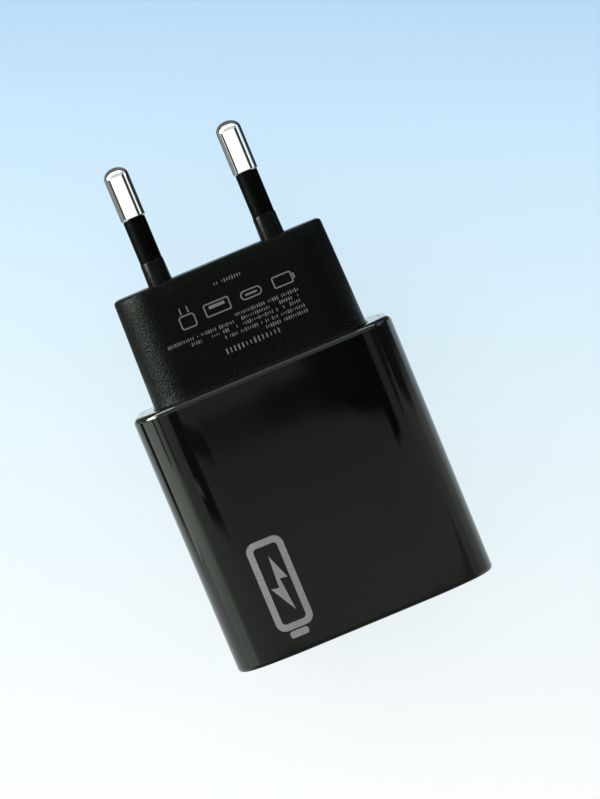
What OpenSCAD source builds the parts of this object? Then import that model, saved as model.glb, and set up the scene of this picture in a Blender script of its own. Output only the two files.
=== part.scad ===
// Two-port USB wall charger with a two-pin round plug.
// It lies on its back: +Z is the front face, +Y the way the plug pins point, X runs across the pins.
// The origin is under the middle of the whole length, on the surface that the back rests on.

/* [Body] */
// Width of the glossy body across the plug pins
body_w = 43.1; // [42:0.1:48]
// Length of the glossy body from the port end to the shoulder
body_l = 42.7; // [41.5:0.1:48]
// Thickness of the glossy body
body_t = 28; // [27:0.5:32]
// Wall of the glossy body
wall = 2; // [1.7:0.1:2.3]
// Radius of the long corners
corner_r = 6.7; // [6:0.1:7.5]
// Radius of the shallow crown between the flat face and a corner
crown_r = 22; // [18:1:26]
// Angle that the crown turns through before the corner starts
crown_a = 20; // [16:1:23]
// Narrowing of each side towards the port end
body_draft = 0.2; // [0:0.05:0.4]
// Edge radius at the port end
front_edge_r = 0.9; // [0.5:0.1:1]
// Edge radius at the shoulder
rear_edge_r = 0.9; // [0.3:0.1:1]
// Width of the ledges that the flange and the port panel seat on
seat_w = 0.8; // [0.6:0.05:1]

/* [Plug block] */
// Width of the plug block at the shoulder
block_w = 35.5; // [34.5:0.1:37]
// Thickness of the plug block at the shoulder
block_t = 24; // [23:0.5:25]
// Length of the plug block
block_l = 17.9; // [17:0.1:22]
// Corner radius of the plug block
block_r = 6.2; // [5:0.1:7]
// Draft of each side of the block over its length
block_draft = 0.45; // [0.2:0.05:0.7]
// Edge radius round the plug face
block_edge_r = 0.7; // [0.4:0.1:1]
// Wall of the plug block
block_wall = 1.9; // [1.6:0.1:2.2]
// Wall that the pins pass through
face_wall = 2.4; // [2:0.1:3]
// Thickness of the flange that closes the body
flange_t = 1.6; // [1.3:0.1:2]

/* [Plug pins] */
// Distance between the pin axes
pin_spacing = 19; // [18:0.1:19.5]
// Length of the pins from the plug face to the tips
pin_l = 19.4; // [18:0.1:20]
// Diameter of the bare pin ends
pin_d = 4; // [3.8:0.05:4.4]
// Length of the bare pin ends
tip_l = 8.6; // [7:0.1:10]
// Height of the domed tip
dome_h = 1.5; // [1:0.1:2]
// Diameter of the metal core inside the sleeve
core_d = 2.4; // [2.2:0.1:2.6]
// Diameter of the insulating sleeve
sleeve_d = 3.6; // [3.4:0.05:3.75]
// Diameter of the collar at the plug face
collar_d = 3.98; // [3.9:0.02:4.1]
// Diameter of the collar where it steps down to the sleeve
collar_end_d = 3.78; // [3.76:0.01:3.88]
// Length of the collar
collar_l = 3.7; // [3:0.1:4.4]
// Diameter of the bosses that guide the pins inside the block
boss_d = 8; // [7:0.5:9]
// Length of the bosses
boss_l = 5; // [4:0.5:6]
// Diameter of the pin heads
head_d = 6; // [5.5:0.1:6.5]
// Thickness of the pin heads
head_t = 1.5; // [1.2:0.1:1.8]
// Length of the pin tails behind the retainer
tail_out = 0.8; // [0.5:0.1:1.1]
// Thickness of the plate staked behind the pin heads
retainer_t = 1.5; // [1.2:0.1:1.8]
// Width of the retainer plate
retainer_w = 27; // [26:0.5:28.5]
// Height of the retainer plate
retainer_h = 9; // [8:0.5:10]
// Diameter of the stakes that hold the retainer
stake_d = 2.4; // [2:0.1:2.8]
// Diameter of the staked heads
stake_head_d = 3.6; // [3.4:0.1:4]

/* [Snaps and rails] */
// Width of a snap arm
arm_w = 6; // [5:0.5:7]
// Thickness of a snap arm
arm_t = 1; // [0.9:0.05:1.1]
// Length of the plug cover's snap arms
arm_l = 6; // [5:0.5:7]
// Length of the port panel's snap arms
panel_arm_l = 4; // [3.5:0.5:5]
// Distance of the snap arms from the middle
arm_x = 6; // [5:0.5:7]
// Height of a snap hook
hook_h = 0.6; // [0.5:0.05:0.7]
// Length of a snap hook
hook_l = 1.6; // [1.3:0.1:2]
// Thickness of the rails that hold the main board
rail_t = 1.2; // [1:0.1:1.4]
// Width of the board edge that the rails grip
rail_grip = 1.2; // [0.9:0.1:1.5]

/* [Port face] */
// Thickness of the port panel
panel_t = 1.6; // [1.4:0.1:2]
// Depth of the panel face behind the body's rim
panel_recess = 0.4; // [0.2:0.05:0.6]
// Depth of the port mouths behind the panel face
mouth_recess = 0.5; // [0.3:0.05:0.8]
// Distance between the two ports
port_gap = 4; // [3.5:0.1:4.5]
// Sheet thickness of the port shells
shell_t = 0.3; // [0.25:0.05:0.4]
// Depth of the ports from the mouth to the port board
port_depth = 13.6; // [13:0.2:14.6]
// Width of the type A slot
usb_a_w = 12.5; // [12.4:0.05:12.6]
// Height of the type A slot
usb_a_h = 5.12; // [5:0.02:5.2]
// Corner radius of the type A shell
usb_a_r = 0.6; // [0.5:0.1:0.8]
// Width of the type A tongue
tongue_a_w = 11.1; // [10.8:0.1:11.4]
// Thickness of the type A tongue
tongue_a_t = 1.84; // [1.7:0.02:1.9]
// Depth of the type A tongue behind the mouth
tongue_a_in = 2; // [1.6:0.1:2.4]
// Length of the type A base behind the tongue
base_a_l = 3.2; // [2.8:0.1:4]
// Width of a type A contact
contact_a_w = 1; // [0.8:0.1:1.2]
// Thickness of a type A contact
contact_a_t = 0.25; // [0.2:0.05:0.3]
// Width of the type C slot
usb_c_w = 8.34; // [8.25:0.01:8.45]
// Height of the type C slot
usb_c_h = 2.56; // [2.5:0.01:2.65]
// Width of the type C tongue
tongue_c_w = 6.69; // [6.5:0.01:6.8]
// Thickness of the type C tongue
tongue_c_t = 0.7; // [0.6:0.02:0.8]
// Depth of the type C tongue behind the mouth
tongue_c_in = 1; // [0.8:0.1:1.3]
// Length of the type C tongue
tongue_c_l = 5; // [4.5:0.1:5.5]
// Number of type C contacts on each face of the tongue
contact_c_count = 12; // [8:2:12]
// Distance between type C contacts
contact_c_pitch = 0.5; // [0.45:0.01:0.54]
// Width of a type C contact
contact_c_w = 0.25; // [0.2:0.01:0.3]
// Thickness of a type C contact
contact_c_t = 0.1; // [0.06:0.01:0.14]

/* [Boards] */
// Thickness of the main board
board_t = 1.2; // [1:0.1:1.6]
// Room under the main board inside the plug block
under_board = 1.5; // [1.4:0.1:1.8]
// Width of the main board's tongue inside the plug block
tongue_w = 26; // [24.5:0.5:27]
// Thickness of the port board
port_board_t = 1.2; // [1:0.1:1.6]
// Width of the port board
port_board_w = 30; // [29:0.5:32]
// Height of the port board above the main board
port_board_h = 17.5; // [16.5:0.5:18]
// Width of a port board tab
tab_w = 4; // [3:0.5:5]
// Distance of the port board tabs from the middle
tab_x = 9; // [8:0.5:10]
// Diameter of the component leads
lead_d = 0.8; // [0.6:0.05:1]
// Length of the leads below the main board
lead_out = 1; // [0.9:0.1:1.2]
// Diameter of a solder joint
solder_d = 2; // [1.6:0.1:2.2]
// Height of a solder joint
solder_h = 0.7; // [0.5:0.1:0.8]
// Thickness of the insulation sheet under the board
sheet_t = 0.4; // [0.2:0.05:0.5]
// Distance of the insulation sheet's edges from the curve of the body's floor
sheet_side = 0.4; // [0.2:0.1:1]

/* [Mains parts] */
// Width of a contact leaf
leaf_w = 3; // [2.5:0.1:3.5]
// Thickness of a contact leaf
leaf_t = 0.3; // [0.25:0.05:0.4]
// Length of a contact leaf's foot
leaf_foot = 2.8; // [2.2:0.1:3.2]
// Height of a contact leaf above the pin axis
leaf_over = 2.2; // [1.8:0.1:3]
// Width of the fuse
fuse_w = 4; // [3.6:0.1:4.4]
// Length of the fuse
fuse_l = 8.4; // [7.6:0.1:9]
// Height of the fuse
fuse_h = 7.6; // [7:0.1:8.5]
// Diameter of the varistor disc
varistor_d = 7; // [6:0.1:7.6]
// Thickness of the varistor
varistor_t = 3.2; // [3:0.1:4]
// Width of the film capacitor
x_cap_w = 12; // [10.5:0.1:13]
// Depth of the film capacitor
x_cap_l = 5.6; // [5:0.1:6]
// Height of the film capacitor
x_cap_h = 11; // [10:0.1:12]
// Outer diameter of the choke's ferrite ring
choke_d = 9; // [8.5:0.1:10]
// Bore of the choke's ferrite ring
choke_bore = 5; // [4.6:0.1:5.4]
// Thickness of the choke's ferrite ring
choke_t = 3.4; // [3:0.1:3.6]
// Wire thickness over the choke's ring
choke_wire = 0.8; // [0.6:0.05:0.9]
// Angle that each choke winding covers
choke_arc = 130; // [110:5:150]
// Height of the choke's cradle
cradle_h = 2; // [1.6:0.1:2.4]
// Diameter of the bulk capacitors
bulk_d = 9; // [8.5:0.1:10]
// Height of the bulk capacitors
bulk_h = 17; // [15:0.5:18]
// Depth of the crimped groove in a capacitor can
crimp = 0.5; // [0.3:0.05:0.7]
// Thickness of a capacitor's rubber seal
seal_t = 1.2; // [1:0.1:1.4]

/* [Transformer] */
// Width of the ferrite core
core_w = 18; // [17:0.1:19]
// Depth of the ferrite core
core_l = 11.4; // [10.5:0.1:13]
// Height of one core half
core_h = 7; // [6.5:0.1:7.5]
// Thickness of a core half's back
core_back = 2.8; // [2.4:0.1:3]
// Width of a core leg
core_leg = 2.6; // [2.2:0.1:2.8]
// Diameter of the centre post
post_d = 6; // [5.5:0.1:6.4]
// Wall of the bobbin
bobbin_wall = 0.8; // [0.6:0.05:1]
// Thickness of the bobbin's pin rails
pin_rail_t = 2.2; // [2:0.1:2.6]
// Width of the bobbin's pin rails
pin_rail_w = 14; // [13:0.1:15]
// Height of the core above the board
core_lift = 1; // [0.8:0.1:1.3]
// Tape thickness round the core
tape_t = 0.2; // [0.1:0.05:0.3]
// Tape width round the core
tape_w = 6; // [5:0.1:7]
// Pins on each rail
rail_pins = 4; // [3:1:5]
// Distance between rail pins
rail_pitch = 3.2; // [2.8:0.1:3.2]

/* [Output and control] */
// Diameter of the output capacitors
out_d = 8; // [7:0.1:8.4]
// Height of the output capacitors
out_h = 12; // [10.5:0.5:12.5]
// Length of the safety capacitor under the board
y_cap_l = 8; // [7:0.1:9]
// Width of the safety capacitor
y_cap_w = 4.4; // [4:0.1:5]
// Thickness of the safety capacitor
y_cap_t = 2.2; // [1.8:0.1:2.4]
// Length of the power switch
switch_l = 6.6; // [6:0.1:7.4]
// Width of the power switch
switch_w = 6.1; // [5.5:0.1:7]
// Length of a small chip
chip_l = 4.9; // [4.4:0.1:5.4]
// Width of a small chip
chip_w = 3.9; // [3.5:0.1:4.4]
// Thickness of the chips under the board
chip_t = 1.5; // [1.2:0.1:1.6]
// Width of the port protocol chip
protocol_w = 4; // [3:0.1:5]
// Thickness of the port protocol chip
protocol_t = 0.9; // [0.7:0.05:1]
// Length of a chip resistor or chip capacitor
smd_l = 1.6; // [1.2:0.1:2]
// Width of a chip resistor or chip capacitor
smd_w = 0.8; // [0.6:0.05:1]
// Thickness of a chip resistor
resistor_t = 0.45; // [0.35:0.05:0.6]
// Thickness of a chip capacitor
capacitor_t = 0.8; // [0.6:0.05:1]
// Chips in each row
smd_count = 5; // [3:1:5]
// Distance between chips in a row
smd_pitch = 1.8; // [1.5:0.1:2]

/* [Hidden] */
$fn = 48;
// Clearance of moulded and pressed fits
fit = 0.05;
// Clearance of boards in rails, tabs in slots and leads in holes
loose = 0.1;
// Clearance of snap arms from the wall beside them
snap_gap = 0.15;
// Room between neighbouring components
part_gap = 1;
// Overlap of shapes that fuse into one solid
weld = 0.4;
// Margin of a cutting shape past the surface that it cuts
past = 1;
// Segments of an edge, a long corner, a crown and a domed tip
edge_steps = 3;
corner_steps = 8;
crown_steps = 3;
dome_steps = 6;

// Stations along the charger
y_front = -(body_l + block_l + pin_l) / 2;
y_rear = y_front + body_l;
y_face = y_rear + block_l;
y_tip = y_face + pin_l;
y_flange = y_rear - flange_t;
y_panel_out = y_front + panel_recess;
y_panel_in = y_panel_out + panel_t;
y_mouth = y_panel_out + mouth_recess;
y_port_board = y_mouth + port_depth;
y_port_back = y_port_board + port_board_t;
y_wall = y_face - face_wall;
y_boss = y_wall - boss_l;
y_head = y_boss - head_t;
y_retainer = y_head - retainer_t;
y_tail = y_retainer - tail_out;
y_board = y_panel_in + part_gap;
y_board_wide = y_flange - part_gap;
y_board_end = y_tail + loose;

// Heights
z_mid = body_t / 2;
z_floor = wall;
z_inside = z_mid - block_t / 2 + block_wall;
z_board = z_inside + under_board;
z_top = z_board + board_t;

// Body section
bore_w = body_w - 2 * body_draft;
rim = wall - seat_w;
front_edge = min(front_edge_r, rim - 2 * fit);
rear_edge = min(rear_edge_r, rim - 2 * fit);
pin_x = pin_spacing / 2;
floor_w = bore_w - 2 * corner_r - 2 * (crown_r - corner_r) * sin(crown_a);

// Ports, one above the other about the middle of the panel
shell_a_h = usb_a_h + 2 * shell_t;
shell_a_w = usb_a_w + 2 * shell_t;
shell_c_h = usb_c_h + 2 * shell_t;
shell_c_w = usb_c_w + 2 * shell_t;
round_c = shell_c_h / 2 - fit;
stack_h = shell_a_h + port_gap + shell_c_h;
z_usb_a = z_mid - stack_h / 2 + shell_a_h / 2;
z_usb_c = z_mid + stack_h / 2 - shell_c_h / 2;
port_clear = 0.2;
leg_w = 2;
leg_out = 0.6;
contact_a_x = [-3.5, -1, 1, 3.5];

// Half width of the bore at a height below the lower corners' centres
corner_z = z_mid - body_t / 2 + crown_r * (1 - cos(crown_a)) + corner_r * cos(crown_a);
function bore_half(z) =
    bore_w / 2 - corner_r + sqrt(pow(corner_r - wall, 2) - pow(max(corner_z - z, 0), 2));
board_w = 2 * (bore_half(z_board) - part_gap / 2);

// Transformer place
transformer_l = core_l + 2 * pin_rail_t;
window = core_w - 2 * core_leg;
x_transformer = -board_w / 2 + rail_grip + part_gap + core_w / 2;
y_transformer = y_port_back + part_gap + transformer_l / 2;
z_core = z_top + core_lift;
tube_d = post_d + 2 * loose + 2 * bobbin_wall;
window_h = 2 * (core_h - core_back);
pin_row_y = core_l / 2 + pin_rail_t / 2;

// Capacitor places, each beside its neighbour
x_bulk = x_transformer + core_w / 2 + tape_t + part_gap + bulk_d / 2;
y_bulk = y_port_back + part_gap + bulk_d / 2;
bulk_step = bulk_d + part_gap / 2;
bulk_lead = 2.5;
x_y_cap = -bore_half(z_board - y_cap_t) + part_gap / 2 + y_cap_w / 2;
x_out = shell_a_w / 2 + part_gap + out_d / 2;
y_out = y_port_board - part_gap - out_d / 2;
out_lead = 1.75;

// Mains row inside the plug block
x_cap_back = y_tail - part_gap / 2;
y_x_cap = x_cap_back - x_cap_l / 2;
x_cap_lead = x_cap_w / 2 - 2 * lead_d;
choke_room = choke_t / 2 + choke_wire;
y_choke = y_x_cap - x_cap_l / 2 - part_gap / 2 - choke_room;
choke_r = choke_d / 2 + choke_wire;
z_choke = z_top + loose + choke_r;
choke_lead_x = 2.2;
choke_lead_y = choke_room - lead_d;
x_fuse = -pin_x - leaf_w / 2 + fuse_w / 2;
x_choke = x_fuse + fuse_w / 2 + part_gap / 2 + choke_r;
y_fuse = y_tail - leaf_foot - part_gap - fuse_l / 2;
fuse_lead = 2.5;
x_varistor = x_choke + choke_r + part_gap / 2 + varistor_d / 2;
y_varistor = y_x_cap - x_cap_l / 2 - part_gap / 2 - varistor_t / 2;
disc_lift = 0.8;
disc_lead = 2;

// Chips under the main board, between the rows of leads
leg_reach = 0.8;
switch_off = 2.6;
x_switch = x_transformer + switch_off;
y_controller = y_port_back + part_gap + chip_l / 2;
x_controller = x_switch + switch_w / 2 + 2 * leg_reach + part_gap / 2 + chip_w / 2;
y_sync = y_out - out_d / 2 + chip_l / 2;
x_opto = chip_w + 2 * leg_reach + part_gap;
y_bridge = y_controller + chip_l + part_gap;
x_resistors = x_bulk - solder_d / 2 - part_gap - smd_count * smd_pitch / 2;
y_resistors = y_bridge + chip_l / 2 + part_gap + smd_l / 2;
y_capacitors = y_sync + chip_l / 2 + part_gap + smd_l / 2;
x_protocol = shell_c_w / 2 + part_gap + protocol_w;
z_protocol = z_top + port_board_h - protocol_w / 2 - part_gap / 2;

// Every lead through the main board
pair = [-1, 1];
leads = concat(
    [for (n = [0, 1]) for (s = pair) [x_bulk, y_bulk + n * bulk_step + s * bulk_lead]],
    [for (m = pair) for (s = pair) [m * x_out, y_out + s * out_lead]],
    [for (s = pair) [s * x_cap_lead, y_x_cap]],
    [for (s = pair) [x_fuse, y_fuse + s * fuse_lead]],
    [for (s = pair) [x_varistor + s * disc_lead, y_varistor]],
    [for (m = pair) for (s = pair) [x_choke + m * choke_lead_x, y_choke + s * choke_lead_y]]
);
rail_leads = [for (s = pair) for (n = [0:rail_pins - 1])
    [x_transformer + (n - (rail_pins - 1) / 2) * rail_pitch, y_transformer + s * pin_row_y]];

// Points of a circular arc
function arc(cx, cy, r, from, to, steps) =
    [for (i = [0:steps]) let (a = from + (to - from) * i / steps) [cx + r * cos(a), cy + r * sin(a)]];

// One outline from its first quadrant, mirrored into the other three and lifted to the middle height
function four_way(q) = let (n = len(q) - 1) concat(
    [for (i = [0:n]) [q[i].x, z_mid + q[i].y]],
    [for (i = [0:n]) [-q[n - i].x, z_mid + q[n - i].y]],
    [for (i = [0:n]) [-q[i].x, z_mid - q[i].y]],
    [for (i = [0:n]) [q[n - i].x, z_mid - q[n - i].y]]
);

// Body section: side flat, tight corner, shallow crown, front flat
function body_outline(w, inset) =
    let (
        cx = w / 2 - corner_r,
        cz = z_mid - corner_z,
        kx = cx - (crown_r - corner_r) * sin(crown_a),
        corner = arc(cx, cz, corner_r - inset, 0, 90 - crown_a, corner_steps),
        crown = arc(kx, body_t / 2 - crown_r, crown_r - inset, 90 - crown_a, 90, crown_steps)
    )
    four_way(concat(corner, [for (i = [1:crown_steps]) crown[i]]));

// Plug block section: a rectangle with round corners
function block_outline(inset) =
    four_way(arc(block_w / 2 - block_r, block_t / 2 - block_r, block_r - inset, 0, 90, corner_steps));

// Rectangle with round corners about a height on the charger's middle plane
function slot_outline(w, h, r, z) =
    [for (p = four_way(arc(w / 2 - r, h / 2 - r, r, 0, 90, corner_steps))) [p.x, p.y - z_mid + z]];

// Straight prism of an outline between two stations
module prism(outline, from, to) {
    translate([0, to, 0])
        rotate([90, 0, 0])
            linear_extrude(to - from)
                polygon(outline);
}

// Closed skin through outlines at rising stations
module loft(stations, outlines) {
    n = len(outlines[0]);
    last = len(outlines) - 1;
    points = [for (k = [0:last]) for (p = outlines[k]) [p.x, stations[k], p.y]];
    sides = [for (k = [0:last - 1]) for (i = [0:n - 1])
        let (a = k * n + i, b = k * n + (i + 1) % n)
        each [[a, b, b + n], [a, b + n, a + n]]];
    caps = [[for (i = [0:n - 1]) n - 1 - i], [for (i = [0:n - 1]) last * n + i]];
    polyhedron(points, concat(sides, caps));
}

// Solid turned about an axis along Y, from pairs of radius and station
module turned(x, z, profile) {
    translate([x, 0, z])
        rotate([-90, 0, 0])
            rotate_extrude()
                polygon(profile);
}

// Box from its middle in X, its lowest corner in Y and Z, and its size
module block(x, y, z, w, l, h) {
    translate([x - w / 2, y, z])
        cube([w, l, h]);
}

// Round bar along Y between two stations
module bar(x, z, d, from, to) {
    translate([x, from, z])
        rotate([-90, 0, 0])
            cylinder(d = d, h = to - from);
}

// Snap arm against the floor or ceiling of the bore; way is the direction that it reaches in Y
module snap_arm(x, y, l, way, up) {
    z_skin = z_mid - z_floor - snap_gap;
    translate([x - arm_w / 2, y, z_mid])
        mirror([0, way < 0 ? 1 : 0, 0])
            mirror([0, 0, up ? 0 : 1])
                rotate([90, 0, 90])
                    linear_extrude(arm_w)
                        polygon([
                            [-weld, z_skin - arm_t],
                            [l, z_skin - arm_t],
                            [l, z_skin],
                            [l - hook_l / 2, z_skin + hook_h],
                            [l - hook_l, z_skin + hook_h],
                            [l - hook_l, z_skin],
                            [-weld, z_skin]
                        ]);
}

// Pocket in the bore wall for a snap hook
module snap_pocket(x, y, l, way) {
    from = y + way * (l - hook_l) - way * loose;
    to = y + way * l + way * loose;
    depth = hook_h - snap_gap + loose;
    translate([x - arm_w / 2 - loose, min(from, to), z_floor - depth])
        cube([arm_w + 2 * loose, abs(to - from), body_t - 2 * (z_floor - depth)]);
}

// Capacitor can: crimped near its foot, round at the top
module can(x, y, d, h) {
    lip = 0.4;
    groove = 1.6;
    translate([x, y, z_top])
        rotate_extrude()
            polygon([
                [0, seal_t],
                [d / 2 - lip, seal_t],
                [d / 2 - lip, 0],
                [d / 2, 0],
                [d / 2, groove],
                [d / 2 - crimp, groove + crimp],
                [d / 2, groove + 2 * crimp],
                [d / 2, h - lip],
                [d / 2 - lip, h],
                [0, h]
            ]);
}

// Rubber seal that closes a can and stands on the board
module seal(x, y, d) {
    lip = 0.4;
    translate([x, y, z_top])
        cylinder(d = d - 2 * lip - 2 * fit, h = seal_t);
}

// Coated disc on edge, with a flat foot on the board
module disc(x, y, d, t) {
    bar(x, z_top + disc_lift + d / 2, d, y - t / 2, y + t / 2);
    block(x, y - t / 2, z_top, 2 * disc_lead + 2 * lead_d, t, disc_lift + d / 2);
}

// Chip with gull-wing legs along both long sides, under the main board
module chip(x, y, w, l, legs) {
    leg = 0.5;
    foot = 0.2;
    block(x, y - l / 2, z_board - chip_t, w, l, chip_t);
    for (side = pair)
        for (n = [0:legs - 1])
            block(x + side * w / 2, y - l / 2 + (n + 0.5) * l / legs - leg / 2, z_board - foot,
                2 * leg_reach, leg, foot);
}

// Row of chips along X under the main board
module smd_row(x, y, t) {
    for (n = [0:smd_count - 1])
        block(x + (n - (smd_count - 1) / 2) * smd_pitch, y - smd_l / 2, z_board - t, smd_w, smd_l, t);
}

// Body: a tube with ledges at both ends, snap pockets and two pairs of board rails
module outer_sleeve() {
    angles = [for (i = [0:edge_steps]) 90 * i / edge_steps];
    stations = concat(
        [for (a = angles) y_front + front_edge * (1 - cos(a))],
        [for (a = angles) y_rear - rear_edge * (1 - sin(a))]
    );
    outlines = concat(
        [for (a = angles) body_outline(bore_w, front_edge * (1 - sin(a)))],
        [for (a = angles) body_outline(body_w, rear_edge * (1 - cos(a)))]
    );
    color("black") {
        difference() {
            loft(stations, outlines);
            prism(body_outline(bore_w, wall), y_front - past, y_rear + past);
            prism(body_outline(bore_w, rim), y_front - past, y_panel_in);
            prism(body_outline(bore_w, rim), y_flange, y_rear + past);
            for (side = pair) {
                snap_pocket(side * arm_x, y_flange, arm_l, -1);
                snap_pocket(side * arm_x, y_panel_in, panel_arm_l, 1);
            }
        }
        rail_l = y_flange - y_panel_in;
        for (side = pair)
            for (z = [z_board - rail_t, z_top + loose]) {
                inner = board_w / 2 - rail_grip;
                outer = bore_half(z + rail_t) + weld;
                block(side * (inner + outer) / 2, y_panel_in, z, outer - inner, rail_l, rail_t);
            }
    }
}

// Plug cover: drafted block, flange flush with the shoulder, pin bosses, stakes, board rests and snap arms
module plug_cover() {
    angles = [for (i = [0:edge_steps]) 90 * i / edge_steps];
    stations = concat([y_flange, y_rear], [for (a = angles) y_face - block_edge_r * (1 - sin(a))]);
    outlines = concat(
        [block_outline(0), block_outline(0)],
        [for (a = angles) block_outline(block_draft + block_edge_r * (1 - cos(a)))]
    );
    color("#141514")
        difference() {
            union() {
                difference() {
                    union() {
                        loft(stations, outlines);
                        prism(body_outline(bore_w, rim + fit), y_flange, y_rear);
                    }
                    loft([y_flange - past, y_rear, y_wall],
                        [for (d = [0, 0, block_draft]) block_outline(block_wall + d)]);
                }
                for (side = pair) {
                    bar(side * pin_x, z_mid, boss_d, y_boss, y_wall + weld);
                    bar(side * stake_head_d, z_mid, stake_d, y_retainer - fit, y_wall + weld);
                    bar(side * stake_head_d, z_mid, stake_head_d, y_tail, y_retainer);
                    block(side * (tongue_w / 2 - rail_grip), y_flange, z_inside - weld,
                        rail_t, y_board_end - y_flange, under_board + weld);
                    for (up = [true, false])
                        snap_arm(side * arm_x, y_flange, arm_l, -1, up);
                }
            }
            for (side = pair)
                bar(side * pin_x, z_mid, collar_d + 2 * fit, y_boss - past, y_face + past);
        }
}

// Port panel: plate in the body's front ledge with the two port openings and snap arms
module front_panel() {
    color("#161716") {
        difference() {
            prism(body_outline(bore_w, rim + fit), y_panel_out, y_panel_in);
            for (port = [[shell_a_w, shell_a_h, usb_a_r, z_usb_a], [shell_c_w, shell_c_h, round_c, z_usb_c]])
                prism(slot_outline(port[0] + 2 * port_clear, port[1] + 2 * port_clear, port[2] + port_clear,
                    port[3]), y_panel_out - past, y_panel_in + past);
        }
        for (side = pair)
            for (up = [true, false])
                snap_arm(side * arm_x, y_panel_in, panel_arm_l, 1, up);
    }
}

// Plug pin: domed bare end, core, head and tail in one turning
module plug_pin(x) {
    chamfer = 0.3;
    dome = [for (i = [0:dome_steps]) let (a = 90 * i / dome_steps)
        [pin_d / 2 * cos(a), y_tip - dome_h * (1 - sin(a))]];
    color("silver")
        turned(x, z_mid, concat(
            [[0, y_tail], [core_d / 2, y_tail], [core_d / 2, y_head], [head_d / 2, y_head]],
            [[head_d / 2, y_boss], [core_d / 2, y_boss], [core_d / 2, y_tip - tip_l]],
            [[pin_d / 2 - chamfer, y_tip - tip_l], [pin_d / 2, y_tip - tip_l + chamfer]],
            dome
        ));
}

// Insulating sleeve moulded round a pin's core, with the collar that fills the block's bore
module pin_sleeve(x) {
    color("#1b1c1b")
        turned(x, z_mid, [
            [core_d / 2, y_boss],
            [collar_d / 2, y_boss],
            [collar_d / 2, y_face],
            [collar_end_d / 2, y_face + collar_l],
            [sleeve_d / 2, y_face + collar_l],
            [sleeve_d / 2, y_tip - tip_l],
            [core_d / 2, y_tip - tip_l]
        ]);
}

module line_pin() plug_pin(-pin_x);

module neutral_pin() plug_pin(pin_x);

module line_pin_sleeve() pin_sleeve(-pin_x);

module neutral_pin_sleeve() pin_sleeve(pin_x);

// Plate staked behind the pin heads
module pin_retainer() {
    color("dimgray")
        difference() {
            block(0, y_retainer, z_mid - retainer_h / 2, retainer_w, retainer_t, retainer_h);
            for (side = pair) {
                bar(side * pin_x, z_mid, core_d + 2 * loose, y_retainer - past, y_head + past);
                bar(side * stake_head_d, z_mid, stake_d + 2 * fit, y_retainer - past, y_head + past);
            }
        }
}

// Leaf spring soldered to the board that presses on a pin's tail
module contact_leaf(x) {
    color("goldenrod")
        translate([x - leaf_w / 2, y_tail, z_top])
            rotate([90, 0, 90])
                linear_extrude(leaf_w)
                    polygon([
                        [-leaf_foot, 0],
                        [0, 0],
                        [0, z_mid + leaf_over - z_top],
                        [-leaf_t, z_mid + leaf_over - z_top],
                        [-leaf_t, leaf_t],
                        [-leaf_foot, leaf_t]
                    ]);
}

module line_contact() contact_leaf(-pin_x);

module neutral_contact() contact_leaf(pin_x);

// Main board: wide in the rails, narrower inside the plug block
module main_board() {
    color("darkgreen")
        difference() {
            union() {
                block(0, y_board, z_board, board_w, y_board_wide - y_board, board_t);
                block(0, y_board, z_board, tongue_w, y_board_end - y_board, board_t);
            }
            for (p = concat(leads, rail_leads))
                translate([p.x, p.y, z_board - past])
                    cylinder(d = lead_d + 2 * loose, h = board_t + 2 * past);
            for (side = pair)
                block(side * tab_x, y_port_board - loose, z_board - past,
                    tab_w + 2 * loose, port_board_t + 2 * loose, board_t + 2 * past);
        }
}

// Legs of both port shells through the port board
module shell_legs(grow) {
    for (side = pair)
        for (p = [[shell_a_w, z_usb_a, leg_w], [shell_c_w, z_usb_c, shell_c_h / 3]])
            block(side * (p.x - shell_t) / 2, y_port_board - fit, p.y - p[2] / 2 - grow,
                shell_t + 2 * grow, port_board_t + leg_out + fit, p[2] + 2 * grow);
}

// Flat contacts of the type A port, from the tongue through its base and the port board
module type_a_contacts(grow) {
    from = y_mouth + tongue_a_in + part_gap / 2;
    to = y_port_back + leg_out;
    for (x = contact_a_x)
        block(x, from - grow, z_usb_a - contact_a_t - grow,
            contact_a_w + 2 * grow, to - from + grow, contact_a_t + 2 * grow);
}

// Upright board that carries both ports, on tabs through the main board
module port_board() {
    color("darkgreen")
        difference() {
            union() {
                block(0, y_port_board, z_top, port_board_w, port_board_t, port_board_h);
                for (side = pair)
                    block(side * tab_x, y_port_board, z_board - lead_out,
                        tab_w, port_board_t, board_t + lead_out + weld);
            }
            shell_legs(loose);
            type_a_contacts(loose);
        }
}

// Type A shell: folded steel tube with two legs
module usb_a_shell() {
    color("lightgray") {
        difference() {
            prism(slot_outline(shell_a_w, shell_a_h, usb_a_r, z_usb_a), y_mouth, y_port_board);
            prism(slot_outline(usb_a_w, usb_a_h, usb_a_r - shell_t, z_usb_a),
                y_mouth - past, y_port_board + past);
        }
        intersection() {
            shell_legs(0);
            block(0, y_mouth, z_usb_a - shell_a_h / 2, 2 * shell_a_w, 2 * port_depth, shell_a_h);
        }
    }
}

// Type A insulator: base that fills the shell and the tongue in its upper half
module usb_a_tongue() {
    color("#202120")
        difference() {
            union() {
                prism(slot_outline(usb_a_w - 2 * fit, usb_a_h - 2 * fit, usb_a_r - shell_t, z_usb_a),
                    y_port_board - base_a_l, y_port_board);
                block(0, y_mouth + tongue_a_in, z_usb_a,
                    tongue_a_w, port_depth - tongue_a_in - base_a_l + weld, tongue_a_t);
            }
            type_a_contacts(0);
        }
}

module usb_a_contacts() {
    color("gold")
        type_a_contacts(0);
}

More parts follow.
